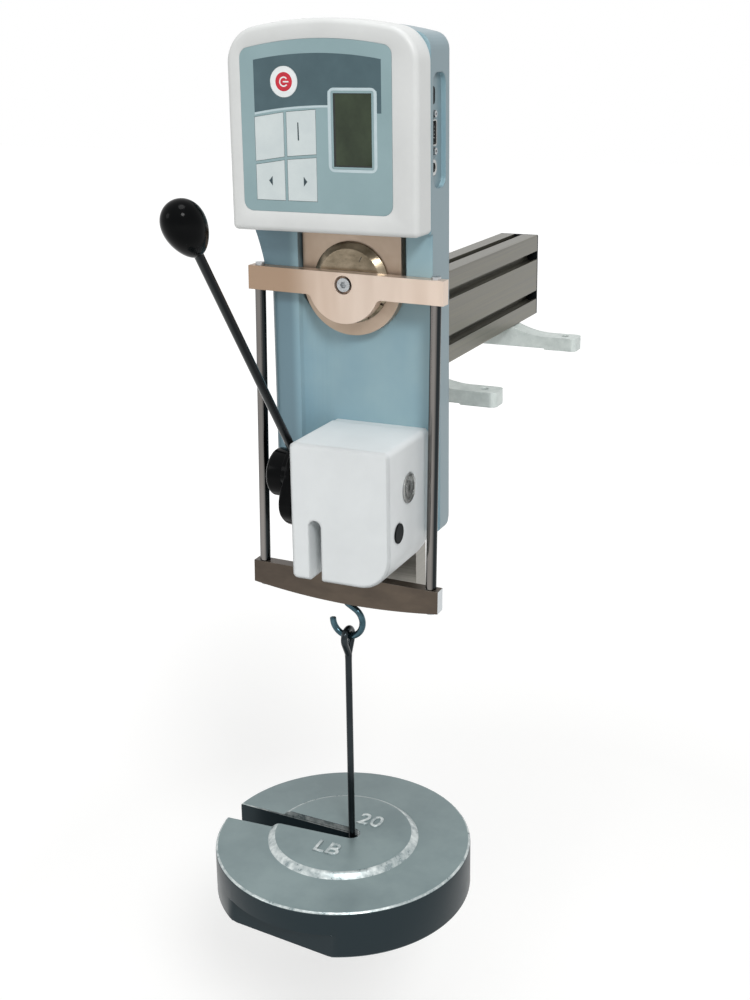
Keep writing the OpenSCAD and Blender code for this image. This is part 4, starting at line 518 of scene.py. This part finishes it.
# The hook's wire: a stub down out of the bar, a bend, a straight line and the bowl's arc
hookWire = {"wire": 5.0, "bowl": 12.5, "bend": 3.0, "start": 60.0, "sweep": 240.0, "arch": -136.5,
    "drop": 15.5, "sink": 1.4, "stub": (3, 1.5), "tip": ((0.5, 2.2), (0.8, 1.4))}
lean = math.radians(hookWire["start"])
bowlZ = hookWire["arch"] - hookWire["drop"]
topZ = hookWire["arch"] + hookWire["sink"]
lineH = topZ - hookWire["bend"] * math.sin(lean) - bowlZ - hookWire["bowl"] * math.sin(lean)
bowlX = hookWire["bend"] * (1 - math.cos(lean)) + lineH * math.tan(lean)
bowlX -= hookWire["bowl"] * math.cos(lean)
stub = np.array([[0, topZ + up] for up in hookWire["stub"]])
bend = arc((hookWire["bend"], topZ), hookWire["bend"], 180, 180 + hookWire["start"], 9)
bowl = arc((bowlX, bowlZ), hookWire["bowl"], hookWire["start"],
    hookWire["start"] - hookWire["sweep"], 60)
flatPath = np.vstack([stub, bend, bowl])
depths = np.full(len(flatPath), place["yokeMidY"])
hookPath = hung(np.stack([flatPath[:, 0], depths, flatPath[:, 1]], -1))
hookRadius = np.full(len(hookPath), hookWire["wire"] / 2)
tipWay = hookPath[-1] - hookPath[-2]
tipWay /= np.linalg.norm(tipWay)
hookPath = np.vstack([hookPath] + [hookPath[-1] + tipWay * past for past, _ in hookWire["tip"]])
hookRadius = np.append(hookRadius, [radius for _, radius in hookWire["tip"]])
loft("hookWire", ringsAlong(hookPath, hookRadius), "bluedSteel", "yoke", ["hook"])

# The eye: straight from the foot to where the line touches the ring, round it and back to the foot.
# neck gives the weld's heights above the foot and its swelling there
hangerWire = {"wire": 5.3, "eye": 6.8, "eyeHeight": 21.0, "plate": 64.0, "plateThick": 6.0,
    "gap": 0.3, "sink": 2, "neck": ((-4, 1), (-1, 1.06), (1.5, 1.04), (3, 0.7)), "chamfer": 0.8}
eyeX, eyeY, eyeTop = place["bowlX"], place["yokeMidY"], place["eyeZ"]
meet = math.degrees(math.asin(hangerWire["eye"] / (hangerWire["eyeHeight"] - hangerWire["eye"])))
ring = arc((eyeY, eyeTop - hangerWire["eye"]), hangerWire["eye"], -meet, 180 + meet, 48)
foot = np.array([eyeY, eyeTop - hangerWire["eyeHeight"]])
rise = np.array([[0.0], [0.25], [0.5], [0.75]])
loop = np.vstack([foot + (ring[0] - foot) * rise, ring, foot + (ring[-1] - foot) * rise[::-1]])
loft("hangerEye", ringsAlong(np.stack([np.full(len(loop), eyeX), loop[:, 0], loop[:, 1]], -1),
    hangerWire["wire"] / 2), "drawnSteel", "hanger", ["hanger"])
plateTop = place["weightTop"] - place["weightThick"] - hangerWire["gap"]
rodR = hangerWire["wire"] / 2
neckZ = eyeTop - hangerWire["eyeHeight"]
rodProfile = [(plateTop - hangerWire["sink"], rodR)]
rodProfile += [(neckZ + up, rodR * swell) for up, swell in hangerWire["neck"]]
loft("hangerRod", turned(rodProfile, [eyeX, eyeY, 0], [0, 0, 1], 40), "drawnSteel", "hanger")
plateR, plateT, plateEdge = hangerWire["plate"] / 2, hangerWire["plateThick"], hangerWire["chamfer"]
plateProfile = [(plateTop - plateT, plateR - plateEdge), (plateTop - plateT + plateEdge, plateR),
    (plateTop - plateEdge, plateR), (plateTop, plateR - plateEdge)]
loft("hangerPlate", turned(plateProfile, [eyeX, eyeY, 0], [0, 0, 1], 96), "drawnSteel", "hanger")
print("yoke, hook and hanger built")

# Slotted weight
weight = {"radius": 102.0, "boss": 60.3, "bossTop": 52.3, "bossHeight": 4.5, "slotEnd": 14.4,
    "slotRim": 24.0, "endX": 7.0, "edge": 2.4, "flatDepth": 12.0, "flatTurn": -6.0, "flatStep": 0.6,
    "bossRim": (1.5, 0.25), "bossSteps": ((0.35, 0.62), (0.7, 0.92), (1.0, 1.0))}


def weightOutline(radius, cut=0.0):
    # Round the rim from one lip of the slot to the other, in along the slot's tapering side,
    # round its end and out again; cut holds the rim back to a chord on the lower front
    span = weight["endX"] + weight["radius"]

    def halfAt(x):
        # Half the slot's width at a place along it
        taper = weight["slotRim"] - weight["slotEnd"]
        return (weight["slotEnd"] + taper * (weight["endX"] - x) / span) / 2

    lip = 180 - math.degrees(math.asin(halfAt(-radius * 0.99) / radius))
    rim = arc((0, 0), radius, lip, -lip, 181)
    lipX = rim[-1, 0]
    run = np.linspace(lipX, weight["endX"], 24)[1:]
    lower = np.stack([run, -halfAt(run)], -1)
    end = arc((weight["endX"], 0), weight["slotEnd"] / 2, -90, 90, 17)[1:-1]
    if cut:
        turn = math.radians(weight["flatTurn"] - 90)
        away = np.array([math.cos(turn), math.sin(turn)])
        past = np.maximum(rim @ away - (weight["radius"] - cut), 0)
        rim = rim - past[:, None] * away
    shape = np.vstack([rim, lower, end, lower[::-1] * [1, -1]])
    return shape + [place["weightX"], place["weightY"]]


def level(shape, z):
    # A flat outline lifted to a height
    return np.column_stack([shape, np.full(len(shape), z)])


top, base, edge = place["weightTop"], place["weightTop"] - place["weightThick"], weight["edge"]
middle = (top + base) / 2
rings = [level(weightOutline(weight["radius"] - edge, weight["flatDepth"]), base)]
rings += [level(weightOutline(weight["radius"] - edge * (1 - math.sin(t)), weight["flatDepth"]),
    base + edge * (1 - math.cos(t))) for t in quarter[1:]]
rings += [level(weightOutline(weight["radius"], weight["flatDepth"]), middle - weight["flatStep"]),
    level(weightOutline(weight["radius"]), middle + weight["flatStep"])]
rimRing = len(rings)
rings += [level(weightOutline(weight["radius"] - edge * (1 - math.cos(t))),
    top - edge * (1 - math.sin(t))) for t in quarter]
slope = weight["boss"] - weight["bossTop"]
bossRing = len(rings) + 1
rings += [level(weightOutline(weight["boss"] + weight["bossRim"][0]), top),
    level(weightOutline(weight["boss"]), top + weight["bossRim"][1])]
rings += [level(weightOutline(weight["boss"] - slope * inward), top + weight["bossHeight"] * up)
    for inward, up in weight["bossSteps"]]
# The rubbed bands on the rim's rounded edge and the boss's lip are painted highlights, and the finish
# paints shade on the walls
loft("castWeight", rings, "castIronPaint", "weight", ["slotted_weight"], angle=28,
    bands=[(rimRing + 2, rimRing + 5, "rubbedIronAndGlint"), (bossRing, bossRing + 2, "rubbedIronAndGlint")])


letterEdge = 0.3  # rounding of raised letters, in mm


def addWords(name, text, size, spot, turn, depth, finish, body):
    # Raised or printed letters: a text curve made into a mesh, turned and set in place. Deep ones
    # get a rounded edge
    curve = bpy.data.curves.new(name, "FONT")
    curve.body, curve.size, curve.extrude = text, size / 1000, depth / 2000
    curve.align_x, curve.align_y = "CENTER", "CENTER"
    if depth > 2 * letterEdge:
        curve.bevel_depth, curve.bevel_resolution = letterEdge / 1000, 1
    holder = linked(name + "Curve", curve)
    bpy.context.view_layer.update()
    mesh = bpy.data.meshes.new_from_object(holder)
    bpy.data.objects.remove(holder)
    mesh.transform(Matrix.Translation(Vector(spot) / 1000) @ turn.to_4x4())
    mesh.name = name
    addMesh(name, mesh, finish, body)


upright = Matrix.Rotation(math.radians(90), 3, "X")
flatUp = Matrix.Identity(3)
castMarks = {"size": 21, "depth": 1.0,
    "lines": {"weightNumber": ("20", 14, 22), "weightUnit": ("LB", -1, -27)}}
for name, (text, dx, dy) in castMarks["lines"].items():
    addWords(name, text, castMarks["size"], (place["weightX"] + dx, place["weightY"] + dy,
        top + weight["bossHeight"]), flatUp, castMarks["depth"], "rubbedIronAndGlint", "weight")
print("weight built")

# Numbers round the terminal disc
discNumbers = {"labels": ["1", "2", "3"], "radius": 19.5, "size": 6.0, "start": 28, "step": 120,
    "lift": 0.33, "depth": 0.06}
for n, text in enumerate(discNumbers["labels"]):
    around = math.radians(discNumbers["start"] + n * discNumbers["step"])
    spot = (discNumbers["radius"] * math.sin(around), place["discY"] - discNumbers["lift"],
        place["discZ"] + discNumbers["radius"] * math.cos(around))
    addWords("discNumber" + text, text, discNumbers["size"], spot,
        Matrix.Rotation(around, 3, "Y") @ upright, discNumbers["depth"], "etchedDigit", "disc")
print("disc numbered")

# Console shell with its label and printing
console = {"left": -79.5, "right": 65.0, "low": 146.0, "top": 290.4, "corner": 4.0, "crown": 25.0,
    "arch": 270.0, "round": 4.0, "labelLeft": -68.5, "labelRight": 46.3, "labelLow": 160.3,
    "labelTop": 277.1, "labelCorner": 7.0, "film": 0.6, "gap": 0.02, "edge": 0.5, "lip": 0.4,
    "step": (0.15, 0.05), "wall": 3, "ink": 0.04}
# How far each print stands before the console's face, in mm, so that no two share a plane
lifts = {"shade": 0.02, "band": 0.03, "key": 0.04, "frame": 0.05, "power": 0.09}


def archedOutline(x0, x1, z0, z1, low, high, inset):
    # Round the lower corners and over the arch of the top, drawn inwards by the inset
    centre, arch = place["consoleX"], console["arch"]
    cz = z1 - arch
    right = math.degrees(math.acos((x1 - high - centre) / (arch - high)))
    left = math.degrees(math.acos((x0 + high - centre) / (arch - high)))
    rightSpot = (x1 - high, cz + (arch - high) * math.sin(math.radians(right)))
    leftSpot = (x0 + high, cz + (arch - high) * math.sin(math.radians(left)))
    return np.vstack([arc((x0 + low, z0 + low), low - inset, 180, 270, 9),
        arc((x1 - low, z0 + low), low - inset, 270, 360, 9),
        arc(rightSpot, high - inset, 0, right, 13),
        arc((centre, cz), arch - inset, right, left, 33)[1:-1],
        arc(leftSpot, high - inset, left, 180, 13)])


def facing(shape, y):
    # A flat outline stood up at a depth, facing the operator
    shape = np.asarray(shape, float)
    return np.column_stack([shape[:, 0], np.full(len(shape), y), shape[:, 1]])


def printOn(name, shape, finish, lift, body="frame"):
    # A thin printed patch on the console's face: its outline and the same outline a little behind
    y = place["consoleY"] - lift
    loft(name, [facing(shape, y + console["ink"]), facing(shape, y)], finish, body)


def ringPatch(name, outer, inner, finish, lift):
    # A printed frame: the strip between two outlines with the same number of points
    y = place["consoleY"] - lift
    behind = y + console["ink"]
    rings = [facing(outer, behind), facing(outer, y), facing(inner, y), facing(inner, behind),
        facing(outer, behind)]
    loft(name, rings, finish, "frame", caps=(False, False))


def roundRect(cx, cz, w, h, r, count=7):
    # A rectangle with round corners
    x, z = w / 2 - r, h / 2 - r
    corners = ((-x, -z, 180), (x, -z, 270), (x, z, 0), (-x, z, 90))
    return np.vstack([arc((cx + dx, cz + dz), r, start, start + 90, count)
        for dx, dz, start in corners])


def archAt(x, apex, centre, radius):
    # Height of a shallow arch over a place
    return apex - (np.asarray(x, float) - centre) ** 2 / (2 * radius)


def box(low, high):
    # The corners of a rectangle between two places
    return [(low[0], low[1]), (high[0], low[1]), (high[0], high[1]), (low[0], high[1])]


def shellRing(y, inset, label=False):
    # The shell's or the label's outline at a depth, drawn inwards by the inset
    corners = (console["labelCorner"],) * 2 if label else (console["corner"], console["crown"])
    sides = ("labelLeft", "labelRight", "labelLow", "labelTop") if label else (
        "left", "right", "low", "top")
    return facing(archedOutline(*(console[key] for key in sides), *corners, inset), y)


# The shell: out from the housing, round the front edge, in over the face, down the label's step
# and back along its inside
front, back, rounding = place["consoleY"], place["headY"] - console["gap"], console["round"]
edge, lip, wall, step = console["edge"], console["lip"], console["wall"], console["step"]
shell = [shellRing(back, edge), shellRing(back - edge, 0)]
shell += [shellRing(front + rounding * (1 - math.sin(t)), rounding * (1 - math.cos(t)))
    for t in np.radians(np.linspace(0, 90, 13))]
shell += [shellRing(front, -lip, True), shellRing(front + step[0], -step[1], True),
    shellRing(front + console["film"], -step[1], True),
    shellRing(front + console["film"], wall, True), shellRing(back, wall, True),
    shellRing(back, edge)]
loft("consoleShell", shell, "whiteAbs", "frame", ["console_bezel"], caps=(False, False), angle=40)

band = {"left": -57.8, "right": 38.6, "apex": 267.6, "archCentre": -9.0, "archRadius": 272.0,
    "low": 233.4, "lowCentre": 1.0, "lowRadius": 320.0, "rightLow": 228.3, "line": (0.1, 1.5)}
display = {"x": 17.05, "z": 216.85, "w": 28.3, "h": 48.7, "frameW": 36.6, "frameH": 56.2,
    "corner": 4.5, "overlap": 2, "inner": (3.4, 1.5), "rimOuter": (3.6, 1.5), "rimInner": (0.3, 0.3)}
power = {"x": -34.4, "z": 248.7, "ring": 10.4, "gap": 0.35, "disc": 6.4, "mark": 3.0, "line": 0.9,
    "sweep": (40, 320), "bar": (-0.6, 3.8, 0.45)}
powerSpot = (power["x"], power["z"])


def highAt(x):
    # The band's upper edge
    return np.stack([x, archAt(x, band["apex"], band["archCentre"], band["archRadius"])], -1)


def lowAt(x, below=0.0):
    # The band's lower edge, or a line a little below it
    return np.stack([x, archAt(x, band["low"], band["lowCentre"], band["lowRadius"]) - below], -1)


def displayBox(grow, corner):
    # The display's outline, grown by a width
    return roundRect(display["x"], display["z"], display["w"] + grow, display["h"] + grow, corner)


# The band is printed in two halves that meet over the power key and leave its hole free
hole = power["ring"] + power["gap"]
frameLeft, frameRight = (display["x"] + side * display["frameW"] / 2 for side in (-1, 1))
frameTop = display["z"] + display["frameH"] / 2 - display["overlap"]
span = np.linspace(band["left"], power["x"], 16)
printOn("slateBandLeft", np.vstack([highAt(span[::-1]), lowAt(span),
    arc(powerSpot, hole, 270, 90, 33)]), "slateInk", lifts["band"])
span = np.linspace(power["x"], band["right"], 30)
lower = np.linspace(frameLeft, power["x"], 16)
roundDisplay = [(band["right"], band["rightLow"]), (frameRight, band["rightLow"]),
    (frameRight, frameTop), (frameLeft, frameTop)]
printOn("slateBandRight", np.vstack([highAt(span), roundDisplay, lowAt(lower),
    arc(powerSpot, hole, -90, 90, 33)]), "slateInk", lifts["band"])
span = np.linspace(band["left"], frameLeft, 30)
printOn("bandLine", np.vstack([lowAt(span, band["line"][0]), lowAt(span[::-1], band["line"][1])]),
    "paleInk", lifts["band"])
frameOutline = roundRect(display["x"], display["z"], display["frameW"], display["frameH"],
    display["corner"])
ringPatch("displaySurround", frameOutline, displayBox(*display["inner"]), "paleInk", lifts["frame"])
ringPatch("displayRim", displayBox(*display["rimOuter"]), displayBox(*display["rimInner"]),
    "printedFilm", lifts["frame"])

circle = arc(powerSpot, power["disc"], 0, 360, 49)[:-1]
printOn("powerDisc", circle, "redInk", lifts["frame"], "power_button")

# The shade that the label's edge throws on the display's glass: left, low and top
glass = {"left": 2.9, "right": 31.2, "low": 192.5, "top": 241.2, "shade": (1.5, 0.9, 0.5)}
wide, deep, thin = glass["shade"]
glassStart = glass["left"] + wide
printOn("displayShadeLeft", box((glass["left"], glass["low"]), (glassStart, glass["top"])),
    "displayBody", lifts["shade"])
printOn("displayShadeLow", box((glassStart, glass["low"]), (glass["right"], glass["low"] + deep)),
    "displayBody", lifts["shade"])
printOn("displayShadeTop", box((glassStart, glass["top"] - thin), (glass["right"], glass["top"])),
    "displayBody", lifts["shade"])

# The power key's mark: an open ring and a bar
outer = arc(powerSpot, power["mark"] + power["line"] / 2, *power["sweep"], 30)
inner = arc(powerSpot, power["mark"] - power["line"] / 2, *power["sweep"][::-1], 30)
printOn("powerMark", np.vstack([outer, inner]), "whiteInk", lifts["power"], "power_button")
barFrom, barTo, barHalf = power["bar"]
printOn("powerBar", box((power["x"] + barFrom, power["z"] - barHalf), (power["x"] + barTo,
    power["z"] + barHalf)), "whiteInk", lifts["power"], "power_button")

# A dash and two arrows on the keys; arrow gives the back, half height and tip
marks = {"barX": -24.2, "barLow": 209.5, "barHigh": 221.6, "barFoot": (-0.5, 0.5),
    "barHead": (0.3, -0.6), "leftX": -46.6, "rightX": -19.6, "z": 181.5, "arrow": (1.3, 3.4, 1.5)}
dash = [(marks["barX"] + dx, marks["barLow"]) for dx in marks["barFoot"]]
dash += [(marks["barX"] + dx, marks["barHigh"]) for dx in marks["barHead"]]
printOn("keyDash", dash, "darkInk", lifts["key"], "button_upper_right")
rear, half, tip = marks["arrow"]
for mark, x, way, body in (("arrowLeft", marks["leftX"], -1, "button_lower_left"),
        ("arrowRight", marks["rightX"], 1, "button_lower_right")):
    printOn(mark, [(x - way * rear, marks["z"] - half), (x - way * rear, marks["z"] + half),
        (x + way * tip, marks["z"])], "darkInk", lifts["key"], body)

# Mouths of the connectors in the pocket, as flat black faces: the serial one is its black insulator,
# and the usb one stands for the socket's black insert and is painted shade for the hollow behind its
# opening. Each at z and x, with its size along y and z
ports = {"y": -201.5, "usb": (239.0, 61.6, 9.4, 12.0), "serial": (214.3, 62.0, 5.4, 15.0),
    "cornerShare": 0.3, "thick": 0.3, "lift": 0.02}


def mouth(name, spec, lift):
    # A flat rounded plug face that looks out of the housing's right side
    z, x, w, h = spec
    shape = roundRect(ports["y"], z, w, h, min(w, h) * ports["cornerShare"])
    rings = [np.column_stack([np.full(len(shape), x + lift + back), shape])
        for back in (-ports["thick"], 0.0)]
    loft(name, rings, "blackNylon", "frame")


mouth("usbMouth", ports["usb"], ports["lift"])
mouth("serialFace", ports["serial"], 0.0)

# Nine contact pins in two rows, each a short round stub with a chamfered end
pin = {"pitch": 2.4, "row": 1.1, "sides": 12, "profile": [(0.0, 0.42), (0.35, 0.42), (0.5, 0.25)]}
rowsZ = [ports["serial"][0] + k * pin["pitch"] for k in (-2, -1, 0, 1, 2)]
pins = [(ports["y"] - pin["row"], z) for z in rowsZ]
pins += [(ports["y"] + pin["row"], z + pin["pitch"] / 2) for z in rowsZ[:-1]]
sides = pin["sides"]
stubPoints = turned(pin["profile"], [0, 0, 0], [1, 0, 0], sides).reshape(-1, 3)
pinPoints = np.concatenate([stubPoints + [ports["serial"][1] + ports["lift"], y, z]
    for y, z in pins])
stubFaces = [[n * sides + i, n * sides + (i + 1) % sides, (n + 1) * sides + (i + 1) % sides,
    (n + 1) * sides + i] for n in (0, 1) for i in range(sides)] + [list(range(2 * sides, 3 * sides))]
pinFaces = [[corner + n * len(stubPoints) for corner in face] for n in range(len(pins))
    for face in stubFaces]
addPiece("serialPins", pinPoints, pinFaces, "nickelShell", "frame", False)
print("console printed")

# Camera at the photograph's place, from the fitted view: spot in mm, turns in degrees, focal
# length and centre in pixels
view = {"spot": (426.8, -1088.5, 275.6), "turn": 23.99, "down": 15.53, "roll": -0.53,
    "focal": 1376.3, "centre": (395.7, 422.2), "image": (750, 1000), "sensor": 36,
    "clip": (0.01, 50)}
az, pitch, roll = (math.radians(view[key]) for key in ("turn", "down", "roll"))
ahead = Vector((-math.sin(az) * math.cos(pitch), math.cos(az) * math.cos(pitch), -math.sin(pitch)))
right = Vector((math.cos(az), math.sin(az), 0))
over = right.cross(ahead)
sideways = math.cos(roll) * right + math.sin(roll) * over
upwards = -math.sin(roll) * right + math.cos(roll) * over
camera = linked("camera", bpy.data.cameras.new("camera"))
camera.matrix_world = Matrix.Translation(Vector(view["spot"]) / 1000) @ Matrix(
    (sideways, upwards, -ahead)).transposed().to_4x4()
camera.data.sensor_width = view["sensor"]
camera.data.lens = view["focal"] / max(view["image"]) * view["sensor"]
camera.data.shift_x = (view["image"][0] / 2 - view["centre"][0]) / max(view["image"])
camera.data.shift_y = (view["centre"][1] - view["image"][1] / 2) / max(view["image"])
camera.data.clip_start, camera.data.clip_end = view["clip"]
bpy.context.scene.camera = camera

# Pale floor, far enough below to leave the hanging weight clear, and an even white world round it
studio = {"floorZ": -0.62, "half": 9, "floor": "#dcdcdb", "world": 0.46, "glow": (0.38, 0.74),
    "glowReach": (0.5, 1.6), "white": (1, 1, 1, 1), "aim": (0, -0.2, 0)}


def seenRays(tree):
    # 1 for what the camera, a reflection or a view through glass sees, 0 for light on its way
    rays = addNode(tree, "ShaderNodeLightPath").outputs
    direct = addNode(tree, "ShaderNodeMath", {0: rays["Is Camera Ray"], 1: rays["Is Glossy Ray"]},
        operation="MAXIMUM")
    return addNode(tree, "ShaderNodeMath", {0: direct.outputs[0],
        1: rays["Is Transmission Ray"]}, operation="MAXIMUM").outputs[0]


half = studio["half"]
floorMesh = bpy.data.meshes.new("floor")
floorMesh.from_pydata([(x, y, studio["floorZ"]) for x, y in box((-half, -half), (half, half))], [],
    [(0, 1, 2, 3)])
floor = linked("floor", floorMesh)
paint = bpy.data.materials.new("floorPaint")
tree = emptyTree(paint)
# The floor shades as a pale matt sheet, and looks white where the camera or a reflection sees it
shade = addNode(tree, "ShaderNodeBsdfDiffuse", {"Color": linear(studio["floor"])})
# The glow makes up for the lamps' light further out, so only the object's soft shadow shows
floorSpot = addNode(tree, "ShaderNodeTexCoord").outputs["Object"]
flat = addNode(tree, "ShaderNodeVectorMath", {0: floorSpot, 1: (1, 1, 0)},
    operation="MULTIPLY").outputs[0]
reach = addNode(tree, "ShaderNodeVectorMath", {0: flat}, operation="LENGTH").outputs["Value"]
glowAt = addNode(tree, "ShaderNodeMapRange", {"Value": reach, "From Min": studio["glowReach"][0],
    "From Max": studio["glowReach"][1], "To Min": studio["glow"][0], "To Max": studio["glow"][1]})
strength = addNode(tree, "ShaderNodeMath", {0: seenRays(tree), 1: glowAt.outputs[0]},
    operation="MULTIPLY")
glow = addNode(tree, "ShaderNodeEmission", {"Color": studio["white"],
    "Strength": strength.outputs[0]})
both = addNode(tree, "ShaderNodeAddShader", {0: shade.outputs[0], 1: glow.outputs[0]})
addNode(tree, "ShaderNodeOutputMaterial", {"Surface": both.outputs[0]})
floorMesh.materials.append(paint)

world = bpy.data.worlds.new("studio")
bpy.context.scene.world = world
tree = emptyTree(world)
worldLevel = addNode(tree, "ShaderNodeMapRange", {"Value": seenRays(tree),
    "To Min": studio["world"], "To Max": 1.0})
sky = addNode(tree, "ShaderNodeBackground", {"Color": studio["white"],
    "Strength": worldLevel.outputs[0]})
addNode(tree, "ShaderNodeOutputWorld", {"Surface": sky.outputs[0]})

# Lamps, placed in metres, with their widths in metres and their power in watts
lamps = {
    "keyLamp": {"spot": (1.55, -2.2, 1.9), "size": 0.8, "power": 43},
    "topLamp": {"spot": (0.3, -0.7, 2.6), "size": 1.2, "power": 24},
    "fillLamp": {"spot": (-1.9, -1.9, 1.0), "size": 0.9, "power": 6},
}
for name, lamp in lamps.items():
    light = bpy.data.lights.new(name, "AREA")
    light.shape, light.size, light.energy = "DISK", lamp["size"], lamp["power"]
    spot = Vector(lamp["spot"])
    turn = (Vector(studio["aim"]) - spot).to_track_quat("-Z", "Y")
    linked(name, light).matrix_world = Matrix.Translation(spot) @ turn.to_matrix().to_4x4()
bpy.context.scene.view_settings.view_transform = "Standard"
print("camera and studio set")
